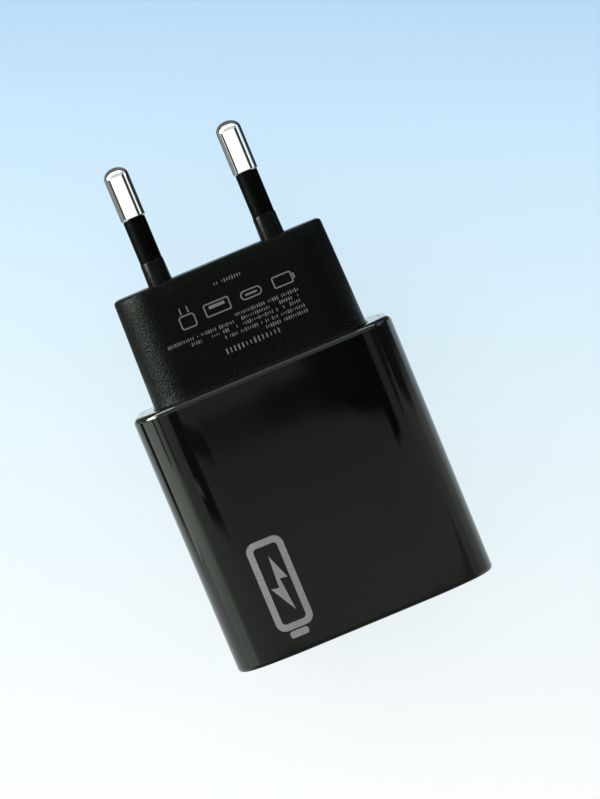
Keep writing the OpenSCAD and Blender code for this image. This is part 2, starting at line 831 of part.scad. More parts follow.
// Type C shell: drawn steel tube with round ends and two legs
module usb_c_shell() {
    color("lightgray") {
        difference() {
            prism(slot_outline(shell_c_w, shell_c_h, round_c, z_usb_c), y_mouth, y_port_board);
            prism(slot_outline(usb_c_w, usb_c_h, round_c - shell_t, z_usb_c),
                y_mouth - past, y_port_board + past);
        }
        intersection() {
            shell_legs(0);
            block(0, y_mouth, z_usb_c - shell_c_h / 2, 2 * shell_c_w, 2 * port_depth, shell_c_h);
        }
    }
}

// Type C insulator: base that fills the shell and the thin tongue in its middle
module usb_c_tongue() {
    y_base = y_mouth + tongue_c_in + tongue_c_l;
    color("#202120") {
        prism(slot_outline(usb_c_w - 2 * fit, usb_c_h - 2 * fit, round_c - shell_t - fit, z_usb_c),
            y_base, y_port_board);
        block(0, y_mouth + tongue_c_in, z_usb_c - tongue_c_t / 2, tongue_c_w, tongue_c_l + weld, tongue_c_t);
    }
}

// Rows of type C contacts on both faces of the tongue
module usb_c_contacts() {
    tip_gap = 0.5;
    color("gold")
        for (n = [0:contact_c_count - 1])
            for (z = [tongue_c_t / 2, -tongue_c_t / 2 - contact_c_t])
                block((n - (contact_c_count - 1) / 2) * contact_c_pitch,
                    y_mouth + tongue_c_in + tip_gap, z_usb_c + z,
                    contact_c_w, tongue_c_l - tip_gap, contact_c_t);
}

module fuse() {
    color("saddlebrown")
        block(x_fuse, y_fuse - fuse_l / 2, z_top, fuse_w, fuse_l, fuse_h);
}

module varistor() {
    color("royalblue")
        disc(x_varistor, y_varistor, varistor_d, varistor_t);
}

module x_capacitor() {
    color("gold")
        block(0, y_x_cap - x_cap_l / 2, z_top, x_cap_w, x_cap_l, x_cap_h);
}

// Ferrite ring of the common mode choke, standing on edge
module choke_core() {
    color("#3a3c3a")
        difference() {
            bar(x_choke, z_choke, choke_d, y_choke - choke_t / 2, y_choke + choke_t / 2);
            bar(x_choke, z_choke, choke_bore, y_choke - choke_t, y_choke + choke_t);
        }
}

// Two windings, one on each side of the ring
module choke_windings() {
    half = choke_room;
    inner = choke_bore / 2 - choke_wire;
    color("#b5651d")
        difference() {
            translate([x_choke, y_choke, z_choke])
                rotate([-90, 0, 0])
                    for (start = [-choke_arc / 2, 180 - choke_arc / 2])
                        rotate([0, 0, start])
                            rotate_extrude(angle = choke_arc)
                                polygon([[inner, -half], [choke_r, -half], [choke_r, half], [inner, half]]);
            difference() {
                bar(x_choke, z_choke, choke_d, y_choke - choke_t / 2, y_choke + choke_t / 2);
                bar(x_choke, z_choke, choke_bore, y_choke - choke_t, y_choke + choke_t);
            }
        }
}

// Cradle that the choke stands in
module choke_base() {
    color("#202120")
        difference() {
            block(x_choke, y_choke - choke_room, z_top, choke_d, 2 * choke_room, cradle_h);
            bar(x_choke, z_choke, 2 * choke_r + 2 * fit, y_choke - choke_d, y_choke + choke_d);
        }
}

module bulk_capacitor_front() {
    color("#26282b")
        can(x_bulk, y_bulk, bulk_d, bulk_h);
}

module bulk_capacitor_rear() {
    color("#26282b")
        can(x_bulk, y_bulk + bulk_step, bulk_d, bulk_h);
}

module bulk_capacitor_seals() {
    color("#151515")
        for (n = [0, 1])
            seal(x_bulk, y_bulk + n * bulk_step, bulk_d);
}

module output_capacitor_left() {
    color("silver")
        can(-x_out, y_out, out_d, out_h);
}

module output_capacitor_right() {
    color("silver")
        can(x_out, y_out, out_d, out_h);
}

module output_capacitor_seals() {
    color("#151515")
        for (side = pair)
            seal(side * x_out, y_out, out_d);
}

// One ferrite half: back, two legs and the round centre post, facing up
module core_half() {
    block(0, -core_l / 2, 0, core_w, core_l, core_back);
    for (side = pair)
        block(side * (core_w - core_leg) / 2, -core_l / 2, 0, core_leg, core_l, core_h);
    cylinder(d = post_d, h = core_h);
}

module transformer_core_lower() {
    color("#333533")
        translate([x_transformer, y_transformer, z_core])
            core_half();
}

module transformer_core_upper() {
    color("#333533")
        translate([x_transformer, y_transformer, z_core + 2 * core_h])
            mirror([0, 0, 1])
                core_half();
}

// Bobbin: tube with two flanges round the post, and two pin rails that stand on the board
module transformer_bobbin() {
    flange_d = window - 2 * loose;
    z_low = core_back;
    color("#23313a")
        translate([x_transformer, y_transformer, z_core])
            difference() {
                union() {
                    translate([0, 0, z_low])
                        cylinder(d = tube_d, h = window_h);
                    for (z = [z_low, z_low + window_h - bobbin_wall])
                        translate([0, 0, z])
                            cylinder(d = flange_d, h = bobbin_wall);
                    block(0, -transformer_l / 2, z_low, post_d, transformer_l, bobbin_wall);
                    for (y = [-transformer_l / 2, core_l / 2 + fit])
                        block(0, y, -core_lift,
                            pin_rail_w, pin_rail_t - fit, core_lift + z_low + bobbin_wall);
                }
                translate([0, 0, z_low - past])
                    cylinder(d = post_d + 2 * loose, h = window_h + 2 * past);
            }
}

// Wound and taped coil between the bobbin's flanges
module transformer_winding() {
    z_low = z_core + core_back + bobbin_wall;
    color("khaki")
        translate([x_transformer, y_transformer, z_low])
            difference() {
                cylinder(d = window - 4 * loose, h = window_h - 2 * bobbin_wall);
                translate([0, 0, -past])
                    cylinder(d = tube_d, h = window_h + 2 * past);
            }
}

// Band of tape that holds the core halves together
module transformer_tape() {
    color("khaki")
        translate([x_transformer, y_transformer - tape_w / 2, z_core])
            difference() {
                block(0, 0, -tape_t, core_w + 2 * tape_t, tape_w, 2 * core_h + 2 * tape_t);
                block(0, -past, 0, core_w, tape_w + 2 * past, 2 * core_h);
            }
}

// Bare leads through the main board, ending at the component above
module lead_set(places) {
    for (p = places)
        translate([p.x, p.y, z_board - lead_out])
            cylinder(d = lead_d, h = board_t + lead_out);
}

module transformer_pins() {
    color("silver")
        lead_set(rail_leads);
}

module component_leads() {
    color("silver")
        lead_set(leads);
}

// Solder cones round every lead under the board
module solder_joints() {
    color("lightgray")
        for (p = concat(leads, rail_leads))
            translate([p.x, p.y, z_board - solder_h])
                difference() {
                    cylinder(d1 = lead_d + 4 * loose, d2 = solder_d, h = solder_h);
                    translate([0, 0, -past])
                        cylinder(d = lead_d, h = solder_h + 2 * past);
                }
}

// Moulded safety capacitor under the board, with a flat terminal at each end
module y_capacitor() {
    foot = 0.2;
    color("steelblue") {
        block(x_y_cap, y_transformer - y_cap_l / 2, z_board - y_cap_t, y_cap_w, y_cap_l, y_cap_t);
        block(x_y_cap, y_transformer - y_cap_l / 2 - leg_reach, z_board - foot,
            y_cap_w / 2, y_cap_l + 2 * leg_reach, foot);
    }
}

module power_switch() {
    legs = 3;
    color("#1c1c1c")
        chip(x_switch, y_transformer, switch_w, switch_l, legs);
}

// Soft pad from the power switch down to the sheet on the body's floor
module thermal_pad() {
    z_sheet = z_floor + sheet_t;
    color("lightsteelblue")
        block(x_switch, y_transformer - switch_l / 2, z_sheet,
            switch_w, switch_l, z_board - chip_t - z_sheet);
}

module controller_chip() {
    legs = 4;
    color("#1c1c1c")
        chip(x_controller, y_controller, chip_w, chip_l, legs);
}

module bridge_rectifier() {
    legs = 2;
    color("#1c1c1c")
        chip(x_controller, y_bridge, chip_w, chip_l, legs);
}

module optocoupler() {
    legs = 2;
    color("#1c1c1c")
        chip(x_opto, y_sync, chip_w, chip_l, legs);
}

module sync_rectifier() {
    legs = 4;
    color("#1c1c1c")
        chip(0, y_sync, chip_w, chip_l, legs);
}

// Flat chip on the front of the port board, beside the type C port
module protocol_chip() {
    color("#1c1c1c")
        block(x_protocol, y_port_board - protocol_t, z_protocol - protocol_w / 2,
            protocol_w, protocol_t, protocol_w);
}

module chip_resistors() {
    color("#101010")
        smd_row(x_resistors, y_resistors, resistor_t);
}

module chip_capacitors() {
    color("peru")
        smd_row(0, y_capacitors, capacitor_t);
}

// Sheet on the body's floor, between the front and rear snap arms
module insulation_sheet() {
    from = y_panel_in + panel_arm_l + part_gap / 2;
    to = y_flange - arm_l - part_gap / 2;
    color("whitesmoke")
        block(0, from, z_floor, floor_w - 2 * sheet_side, to - from, sheet_t);
}

outer_sleeve();
plug_cover();
front_panel();
line_pin();
neutral_pin();
line_pin_sleeve();
neutral_pin_sleeve();
pin_retainer();
line_contact();
neutral_contact();
main_board();
port_board();
usb_a_shell();
usb_a_tongue();
usb_a_contacts();
usb_c_shell();
usb_c_tongue();
usb_c_contacts();
fuse();
varistor();
x_capacitor();
choke_core();
choke_windings();
choke_base();
bulk_capacitor_front();
bulk_capacitor_rear();
bulk_capacitor_seals();
output_capacitor_left();
output_capacitor_right();
output_capacitor_seals();
transformer_core_lower();
transformer_core_upper();
transformer_bobbin();
transformer_winding();
transformer_tape();
transformer_pins();
component_leads();
solder_joints();
y_capacitor();
power_switch();
thermal_pad();
controller_chip();
bridge_rectifier();
optocoupler();
sync_rectifier();
protocol_chip();
chip_resistors();
chip_capacitors();
insulation_sheet();
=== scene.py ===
import math

import bmesh
import bpy
from mathutils import Matrix, Vector


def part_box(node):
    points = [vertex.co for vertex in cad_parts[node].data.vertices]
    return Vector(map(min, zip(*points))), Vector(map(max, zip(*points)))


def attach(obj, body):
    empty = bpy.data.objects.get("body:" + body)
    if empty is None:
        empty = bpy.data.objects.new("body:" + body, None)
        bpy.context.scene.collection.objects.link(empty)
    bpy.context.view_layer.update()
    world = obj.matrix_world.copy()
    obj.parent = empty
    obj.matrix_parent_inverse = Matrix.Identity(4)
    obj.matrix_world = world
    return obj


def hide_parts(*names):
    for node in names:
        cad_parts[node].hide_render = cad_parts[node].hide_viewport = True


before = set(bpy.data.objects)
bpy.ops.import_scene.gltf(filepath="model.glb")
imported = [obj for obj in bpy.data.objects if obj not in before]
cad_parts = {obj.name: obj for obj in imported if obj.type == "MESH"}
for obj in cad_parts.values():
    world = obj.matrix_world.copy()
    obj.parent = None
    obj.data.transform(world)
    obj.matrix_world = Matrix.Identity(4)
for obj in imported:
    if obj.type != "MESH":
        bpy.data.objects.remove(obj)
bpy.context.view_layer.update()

# Glossy body: one tube of polished black polycarbonate, moulded in one shot, with a flat front and
# back, a shallow crown towards each side and tight long corners. A ledge inside each end seats the
# plug cover and the port panel, so the rims stand 1.2 mm thick round both.
mm = 0.001
sleeve_low, sleeve_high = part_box("outer_sleeve")
y_front, y_rear = sleeve_low.y, sleeve_high.y
body_w = sleeve_high.x - sleeve_low.x
body_t = sleeve_high.z - sleeve_low.z
z_mid = body_t / 2
body_draft = 0.2 * mm
bore_w = body_w - 2 * body_draft
corner_r, crown_r, crown_a = 6.7 * mm, 22 * mm, math.radians(20)
wall, rim, rim_break = 2.0 * mm, 1.2 * mm, 0.12 * mm
front_edge, rear_edge = 0.65 * mm, 0.9 * mm
flange_t, panel_recess, panel_t = 1.6 * mm, 0.4 * mm, 1.6 * mm
y_flange = y_rear - flange_t
y_panel_out = y_front + panel_recess
y_panel_in = y_panel_out + panel_t
FLAT_STEPS, SIDE_STEPS, CORNER_STEPS, CROWN_STEPS, EDGE_STEPS, RUN_STEPS = 8, 5, 20, 12, 6, 6
QUARTER, SHARP_TURN = math.pi / 2, math.radians(38)
NOISE_RANGE = 0.3, 0.7


def between(start, end, steps):
    """Evenly spaced values, both ends included."""
    return [start + (end - start) * n / steps for n in range(steps + 1)]


def arc(cx, cz, r, start, end, steps):
    return [(cx + r * math.cos(t), cz + r * math.sin(t)) for t in between(start, end, steps)]


def straight(a, b, steps):
    """Points from a towards b, without b itself."""
    return list(zip(between(a[0], b[0], steps), between(a[1], b[1], steps)))[:-1]


def whole_outline(quarter):
    """The full outline from its quarter between the side and the front."""
    back = quarter[::-1]
    return (quarter[:-1] + [(-x, z) for x, z in back][:-1]
            + [(-x, -z) for x, z in quarter][:-1] + [(x, -z) for x, z in back][:-1])


def crown_start(width):
    """Where the flat front ends and the crown towards the side begins."""
    return width / 2 - corner_r - (crown_r - corner_r) * math.sin(crown_a)


def body_outline(width, inset):
    cz = body_t / 2 - crown_r * (1 - math.cos(crown_a)) - corner_r * math.cos(crown_a)
    corner = arc(width / 2 - corner_r, cz, corner_r - inset, 0, QUARTER - crown_a, CORNER_STEPS)
    crown = arc(crown_start(width), body_t / 2 - crown_r, crown_r - inset,
                QUARTER - crown_a, QUARTER, CROWN_STEPS)
    quarter = (straight((width / 2 - inset, 0), corner[0], SIDE_STEPS) + corner[:-1] + crown[:-1]
               + straight(crown[-1], (0, crown[-1][1]), FLAT_STEPS) + [(0, crown[-1][1])])
    return whole_outline(quarter)


def loop_at(y, outline, middle=z_mid):
    return [Vector((x, y, middle + z)) for x, z in outline]


def band(bm, a, b):
    """Quads between two equal rings of verts."""
    for n in range(len(a)):
        m = (n + 1) % len(a)
        bm.faces.new((a[n], a[m], b[m], b[n]))


def skin(bm, loops, round_trip=False):
    """Quads between equal loops of points, one loop after the other."""
    rings = [[bm.verts.new(p) for p in loop] for loop in loops]
    for a, b in list(zip(rings, rings[1:])) + ([(rings[-1], rings[0])] if round_trip else []):
        band(bm, a, b)
    return rings


def finished(bm, name, finish):
    """A mesh object with outward faces, smooth but for its real edges."""
    bmesh.ops.remove_doubles(bm, verts=bm.verts, dist=1e-7)
    bmesh.ops.recalc_face_normals(bm, faces=bm.faces)
    for face in bm.faces:
        face.smooth = True
    for edge in bm.edges:
        edge.smooth = len(edge.link_faces) == 2 and edge.calc_face_angle() < SHARP_TURN
    mesh = bpy.data.meshes.new(name)
    bm.to_mesh(mesh)
    bm.free()
    mesh.materials.append(finish)
    piece = bpy.data.objects.new(name, mesh)
    bpy.context.scene.collection.objects.link(piece)
    return piece


def width_at(y):
    return bore_w + (body_w - bore_w) * (y - y_front) / (y_rear - y_front)


def new_finish(name):
    finish = bpy.data.materials.new(name)
    finish.use_nodes = True
    tree = finish.node_tree
    return finish, tree, tree.nodes["Principled BSDF"]


def noise(tree, scale, detail=2.0, stretch=(1, 1, 1)):
    """Noise in the piece's own coordinates, with features about 1/scale metres wide."""
    place = tree.nodes.new("ShaderNodeTexCoord")
    turn = tree.nodes.new("ShaderNodeMapping")
    turn.inputs["Scale"].default_value = stretch
    grain = tree.nodes.new("ShaderNodeTexNoise")
    grain.inputs["Scale"].default_value = scale
    grain.inputs["Detail"].default_value = detail
    tree.links.new(place.outputs["Object"], turn.inputs["Vector"])
    tree.links.new(turn.outputs["Vector"], grain.inputs["Vector"])
    return grain.outputs[0]


def spread(tree, source, low, high, socket):
    """Maps a grey pattern to a range of values or colours on a shader socket."""
    if isinstance(low, tuple):
        ramp = tree.nodes.new("ShaderNodeValToRGB")
        for element, at, colour in zip(ramp.color_ramp.elements, NOISE_RANGE, (low, high)):
            element.position, element.color = at, colour + (1,)
        tree.links.new(source, ramp.inputs["Fac"])
        tree.links.new(ramp.outputs["Color"], socket)
    else:
        ramp = tree.nodes.new("ShaderNodeMapRange")
        for key, value in zip(("From Min", "From Max", "To Min", "To Max"), (*NOISE_RANGE, low, high)):
            ramp.inputs[key].default_value = value
        tree.links.new(source, ramp.inputs["Value"])
        tree.links.new(ramp.outputs["Result"], socket)


def bump(tree, source, depth, strength, shader, under=None):
    """Relief from a grey pattern, laid over another relief where one is given."""
    relief = tree.nodes.new("ShaderNodeBump")
    relief.inputs["Strength"].default_value = strength
    relief.inputs["Distance"].default_value = depth
    tree.links.new(source, relief.inputs["Height"])
    if under:
        tree.links.new(under, relief.inputs["Normal"])
    tree.links.new(relief.outputs["Normal"], shader.inputs["Normal"])
    return relief.outputs["Normal"]


polish, tree, shader = new_finish("polished_black_moulding")
spread(tree, noise(tree, 70, 4), (0.0018, 0.0020, 0.0018), (0.0028, 0.0030, 0.0028),
       shader.inputs["Base Color"])
spread(tree, noise(tree, 110, 5), 0.012, 0.030, shader.inputs["Roughness"])
bump(tree, noise(tree, 240, 1), 0.00003, 0.08, shader)
shader.inputs["IOR"].default_value = 1.5
shader.inputs["Specular Tint"].default_value = (0.91, 1.0, 0.89, 1)

hold = 0.03 * mm  # a loop this far past each rounding keeps its shade off the flat beside it
edge_turns = between(0, QUARTER, EDGE_STEPS)
profile = [(y_front + front_edge * (1 - math.cos(t)), front_edge * (1 - math.sin(t)), None)
           for t in edge_turns]
profile += [(y, 0, None) for y in between(y_front + front_edge + hold, y_rear - rear_edge - hold, RUN_STEPS)]
profile += [(y_rear - rear_edge * (1 - math.sin(t)), rear_edge * (1 - math.cos(t)), None) for t in edge_turns]
profile += [(y, inset, bore_w) for y, inset in (
    (y_rear, rear_edge + hold), (y_rear, rim - rim_break), (y_rear - rim_break, rim), (y_flange, rim),
    (y_flange, wall), (y_panel_in, wall), (y_panel_in, rim), (y_front + rim_break, rim),
    (y_front, rim - rim_break), (y_front, front_edge + hold))]
bm = bmesh.new()
skin(bm, [loop_at(y, body_outline(w or width_at(y), inset)) for y, inset, w in profile], round_trip=True)
body_shell = finished(bm, "body_shell", polish)
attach(body_shell, "root")
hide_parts("outer_sleeve")

# Charge mark: a plain battery pictogram with a bolt, pad printed in grey ink near the port end of the
# front. The ink film follows the crown of the body and stands 0.02 mm above the gloss.
ink_t, ink_sink, ink_cut = 0.02 * mm, 0.02 * mm, 0.4 * mm
mark_x, mark_y, mark_l, mark_w = -10.1 * mm, -29.5 * mm, 16.0 * mm, 6.0 * mm
stroke, case_r, case_inner_r = 1.05 * mm, 1.5 * mm, 0.6 * mm
nub_l, nub_w, nub_r, nub_gap = 1.1 * mm, 3.0 * mm, 0.4 * mm, 0.25 * mm
bolt_mm = [(0.0, 4.6), (1.55, 0.55), (0.35, 0.75), (0.85, -4.6), (-1.55, -0.35), (-0.3, -0.6)]


def front_height(x, y):
    out = max(abs(x) - crown_start(width_at(y)), 0)
    return body_t - crown_r + math.sqrt(crown_r ** 2 - out ** 2)


def rounded(cx, cy, w, l, r, steps=6):
    quarter = [(w / 2, 0)] + arc(w / 2 - r, l / 2 - r, r, 0, QUARTER, steps) + [(0, l / 2)]
    return [(cx + x, cy + y) for x, y in whole_outline(quarter)]


def ink_plate(bm, outline):
    bm.faces.new([bm.verts.new((x, y, 0)) for x, y in outline])


def ink_ring(bm, outer, inner):
    band(bm, *[[bm.verts.new((x, y, 0)) for x, y in loop] for loop in (outer, inner)])


def printed(bm, name, finish, height):
    """Lays flat ink shapes on a surface as a thin film, cut into strips that follow its curve."""
    low, high = min(v.co.x for v in bm.verts), max(v.co.x for v in bm.verts)
    for n in range(1, int((high - low) / ink_cut)):
        bmesh.ops.bisect_plane(bm, geom=bm.verts[:] + bm.edges[:] + bm.faces[:],
                               plane_co=(low + n * ink_cut, 0, 0), plane_no=(1, 0, 0))
    bmesh.ops.recalc_face_normals(bm, faces=bm.faces)
    top = bmesh.ops.extrude_face_region(bm, geom=bm.faces[:])
    raised = {v for v in top["geom"] if isinstance(v, bmesh.types.BMVert)}
    for v in bm.verts:
        v.co.z = height(v.co.x, v.co.y) + (ink_t if v in raised else -ink_sink)
    return finished(bm, name, finish)


def pad_print(name, dark, light):
    """Matte printing ink with the faint mottle of the pad."""
    finish, tree, shader = new_finish(name)
    spread(tree, noise(tree, 2600, 3), dark, light, shader.inputs["Base Color"])
    spread(tree, noise(tree, 900, 2), 0.42, 0.58, shader.inputs["Roughness"])
    bump(tree, noise(tree, 5200, 2), 0.00001, 0.25, shader)
    return finish


ink = pad_print("grey_pad_print", (0.160, 0.166, 0.162), (0.205, 0.212, 0.207))

bm = bmesh.new()
case_l = mark_l - nub_l - nub_gap
case_y = mark_y + (mark_l - case_l) / 2
ink_ring(bm, rounded(mark_x, case_y, mark_w, case_l, case_r),
         rounded(mark_x, case_y, mark_w - 2 * stroke, case_l - 2 * stroke, case_inner_r))
ink_plate(bm, rounded(mark_x, mark_y - mark_l / 2 + nub_l / 2, nub_w, nub_l, nub_r))
ink_plate(bm, [(mark_x + x * mm, case_y + y * mm) for x, y in bolt_mm])
body_mark = printed(bm, "body_mark", ink, front_height)
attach(body_mark, "root")

# Plug cover: a matte block of glass-filled nylon with a fine spark-eroded grain, drawn in towards the
# plug face for release from the mould. Its flange drops into the rear ledge of the body and lies
# flush with the shoulder, polished like it; hooks inside hold it for good.
y_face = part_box("plug_cover")[1].y
block_w, block_t, block_r = 35.5 * mm, 24 * mm, 6.2 * mm
block_draft, face_edge, block_wall, face_wall = 0.45 * mm, 0.5 * mm, 1.9 * mm, 2.4 * mm
foot_fillet, flange_inset, lip_break = 0.3 * mm, 1.25 * mm, 0.1 * mm
pin_x, pin_bore_r, bore_break = 9.5 * mm, 2.04 * mm, 0.2 * mm
y_wall = y_face - face_wall
FILLET_STEPS, BLOCK_STEPS = 5, 8


def draft_at(y):
    return block_draft * (y - y_rear) / (y_face - y_rear)


def block_outline(inset):
    corner = arc(block_w / 2 - block_r, block_t / 2 - block_r, block_r - inset, 0, QUARTER,
                 CORNER_STEPS + CROWN_STEPS)
    side, front = (block_w / 2 - inset, 0), (0, block_t / 2 - inset)
    return whole_outline(straight(side, corner[0], SIDE_STEPS) + corner[:-1]
                         + straight(corner[-1], front, FLAT_STEPS) + [front])


def circle(cx, cz, r, y, steps=48):
    turns = between(0, 2 * math.pi, steps)[:-1]
    return [Vector((cx + r * math.cos(t), y, cz + r * math.sin(t))) for t in turns]


def plate(bm, rings):
    """Fills one flat face between an outer ring of verts and the rings of its holes."""
    edges = []
    for ring in rings:
        for n in range(len(ring)):
            pair = (ring[n], ring[(n + 1) % len(ring)])
            edges.append(bm.edges.get(pair) or bm.edges.new(pair))
    bmesh.ops.triangle_fill(bm, use_beauty=True, edges=edges)


def eroded_grain(name, dark, light, rough, depth, shine):
    """Moulded plastic with a spark-eroded grain about 0.3 mm wide, and a finer one over it."""
    finish, tree, shader = new_finish(name)
    coarse, swing = noise(tree, 3000, 3), 0.10
    spread(tree, coarse, dark, light, shader.inputs["Base Color"])
    spread(tree, coarse, rough + swing, rough - swing, shader.inputs["Roughness"])
    under = bump(tree, coarse, depth, 0.8, shader)
    bump(tree, noise(tree, 8000, 2), depth * 0.3, 0.6, shader, under)
    shader.inputs["Specular IOR Level"].default_value = shine
    shader.inputs["Specular Tint"].default_value = (0.89, 1.0, 0.87, 1)
    return finish


grain = eroded_grain("spark_eroded_nylon", (0.0007, 0.0011, 0.0006), (0.0018, 0.0026, 0.0017),
                     0.30, 0.00016, 0.068)
loops = [loop_at(y_flange, body_outline(bore_w, flange_inset)),
         loop_at(y_rear - lip_break, body_outline(bore_w, flange_inset)),
         loop_at(y_rear, body_outline(bore_w, flange_inset + lip_break)),
         loop_at(y_rear, block_outline(-foot_fillet - hold))]
loops += [loop_at(y_rear + foot_fillet * (1 - math.cos(t)), block_outline(-foot_fillet * (1 - math.sin(t))))
          for t in between(0, QUARTER, FILLET_STEPS)]
loops += [loop_at(y, block_outline(draft_at(y)))
          for y in between(y_rear + foot_fillet + hold, y_face - face_edge - hold, BLOCK_STEPS)]
loops += [loop_at(y_face - face_edge * (1 - math.sin(t)),
                  block_outline(block_draft + face_edge * (1 - math.cos(t)))) for t in edge_turns]
loops.append(loop_at(y_face, block_outline(block_draft + face_edge + hold)))
bm = bmesh.new()
outside = skin(bm, loops)
inside = skin(bm, [loop_at(y_flange, block_outline(block_wall)), loop_at(y_rear, block_outline(block_wall)),
                   loop_at(y_wall, block_outline(block_wall + block_draft))])
bores = [skin(bm, [circle(side * pin_x, z_mid, pin_bore_r + bore_break, y_face),
                   circle(side * pin_x, z_mid, pin_bore_r, y_face - bore_break),
                   circle(side * pin_x, z_mid, pin_bore_r, y_wall)]) for side in (-1, 1)]
plate(bm, [outside[-1]] + [bore[0] for bore in bores])
plate(bm, [inside[-1]] + [bore[-1] for bore in bores])
band(bm, outside[0], inside[0])
flange_face = set(outside[1] + outside[2] + outside[3])
for face in bm.faces:
    face.material_index = int(flange_face.issuperset(face.verts))
plug_shell = finished(bm, "plug_shell", grain)
plug_shell.data.materials.append(polish)
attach(plug_shell, "root")
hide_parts("plug_cover")

# Rating print: rows of fine ticks that spell nothing, and a row of outlines of a plug, the two ports
# and a battery, pad printed on the front of the block in a thinner ink.
thin_ink = pad_print("thin_pad_print", (0.080, 0.083, 0.080), (0.125, 0.130, 0.126))
print_tilt = math.atan2(block_draft, y_face - y_rear)
gap_share, tick_widths, tick_heights, tick_round = 0.16, (0.7, 1.5), (0.55, 1.0), 0.3


def block_height(x, y):
    return z_mid + block_t / 2 - draft_at(y)


def node_tree(name, inputs):
    """An empty Geometry Nodes tree with named inputs, its input node and its output node."""
    group = bpy.data.node_groups.new(name, "GeometryNodeTree")
    for title, kind in inputs:
        group.interface.new_socket(title, in_out="INPUT", socket_type=kind)
    group.interface.new_socket("Geometry", in_out="OUTPUT", socket_type="NodeSocketGeometry")
    return group, group.nodes.new("NodeGroupInput"), group.nodes.new("NodeGroupOutput")


def feed(tree, socket, value):
    """Gives a socket a value, or the output that feeds it."""
    if isinstance(value, bpy.types.NodeSocket):
        tree.links.new(value, socket)
    else:
        socket.default_value = value


def step(tree, kind, settings=None, **sockets):
    """Adds a node with its settings and what goes into its sockets."""
    node = tree.nodes.new(kind)
    for key, value in (settings or {}).items():
        setattr(node, key, value)
    for key, value in sockets.items():
        feed(tree, node.inputs[key.replace("_", " ")], value)
    return node


def rounded_bar(group, w, l, t, r):
    """A flat bar with round corners, w by l and t high, standing on its middle."""
    line = step(group, "GeometryNodeCurvePrimitiveQuadrilateral", Width=w, Height=l).outputs[0]
    line = step(group, "GeometryNodeFilletCurve", {"mode": "POLY"}, Curve=line, Radius=r, Count=3,
                Limit_Radius=True).outputs[0]
    face = step(group, "GeometryNodeFillCurve", {"mode": "NGONS"}, Curve=line).outputs[0]
    raised = step(group, "GeometryNodeExtrudeMesh", Mesh=face, Offset_Scale=t, Individual=False).outputs[0]
    under = step(group, "GeometryNodeFlipFaces", Mesh=face).outputs[0]
    both = step(group, "GeometryNodeJoinGeometry")
    group.links.new(raised, both.inputs[0])
    group.links.new(under, both.inputs[0])
    return step(group, "GeometryNodeMergeByDistance", Geometry=both.outputs[0], Distance=1e-7).outputs[0]


def from_nodes(name, group, values):
    """Runs a tree on an empty object and keeps the result as a plain mesh."""
    piece = bpy.data.objects.new(name, bpy.data.meshes.new(name))
    bpy.context.scene.collection.objects.link(piece)
    maker = piece.modifiers.new("maker", "NODES")
    maker.node_group = group
    for item in group.interface.items_tree:
        if item.in_out == "INPUT":
            maker[item.identifier] = values[item.name]
    graph = bpy.context.evaluated_depsgraph_get()
    made = bpy.data.meshes.new_from_object(piece.evaluated_get(graph), depsgraph=graph)
    piece.modifiers.remove(maker)
    piece.data = made
    return piece


def calc(tree, operation, a, b):
    node = tree.nodes.new("ShaderNodeMath")
    node.operation = operation
    for socket, value in zip(node.inputs, (a, b)):
        feed(tree, socket, value)
    return node.outputs[0]


def chance(group, low, high, seed):
    """A seeded random number for each point."""
    node = group.nodes.new("FunctionNodeRandomValue")
    node.data_type = "FLOAT"
    node.inputs[2].default_value, node.inputs[3].default_value = low, high
    group.links.new(seed, node.inputs["Seed"])
    return node.outputs[1]


print_row, given, result = node_tree("print_row", [
    ("Length", "NodeSocketFloat"), ("Pitch", "NodeSocketFloat"), ("Tick width", "NodeSocketFloat"),
    ("Tick height", "NodeSocketFloat"), ("Film", "NodeSocketFloat"), ("Gaps", "NodeSocketFloat"),
    ("Place", "NodeSocketVector"), ("Tilt", "NodeSocketVector"), ("Seed", "NodeSocketInt"),
    ("Finish", "NodeSocketMaterial")])
count = calc(print_row, "DIVIDE", given.outputs["Length"], given.outputs["Pitch"])
first_x = calc(print_row, "MULTIPLY", given.outputs["Length"], -0.5)
start = step(print_row, "ShaderNodeCombineXYZ", X=first_x).outputs[0]
along = step(print_row, "ShaderNodeCombineXYZ", X=given.outputs["Pitch"]).outputs[0]
spots = step(print_row, "GeometryNodeMeshLine", Count=count, Start_Location=start, Offset=along).outputs[0]
draw = chance(print_row, 0.0, 1.0, given.outputs["Seed"])
left_out = calc(print_row, "LESS_THAN", draw, given.outputs["Gaps"])
spots = step(print_row, "GeometryNodeDeleteGeometry", Geometry=spots, Selection=left_out).outputs[0]
tick_r = calc(print_row, "MULTIPLY", given.outputs["Tick width"], tick_round)
tick = rounded_bar(print_row, given.outputs["Tick width"], given.outputs["Tick height"],
                   given.outputs["Film"], tick_r)
size = step(print_row, "ShaderNodeCombineXYZ", X=chance(print_row, *tick_widths, given.outputs["Seed"]),
            Y=chance(print_row, *tick_heights, given.outputs["Seed"]), Z=1.0).outputs[0]
row = step(print_row, "GeometryNodeInstanceOnPoints", Points=spots, Instance=tick, Scale=size).outputs[0]
row = step(print_row, "GeometryNodeRealizeInstances", Geometry=row).outputs[0]
row = step(print_row, "GeometryNodeTransform", Geometry=row, Translation=given.outputs["Place"],
           Rotation=given.outputs["Tilt"]).outputs[0]
row = step(print_row, "GeometryNodeSetMaterial", Geometry=row, Material=given.outputs["Finish"]).outputs[0]
print_row.links.new(row, result.inputs[0])

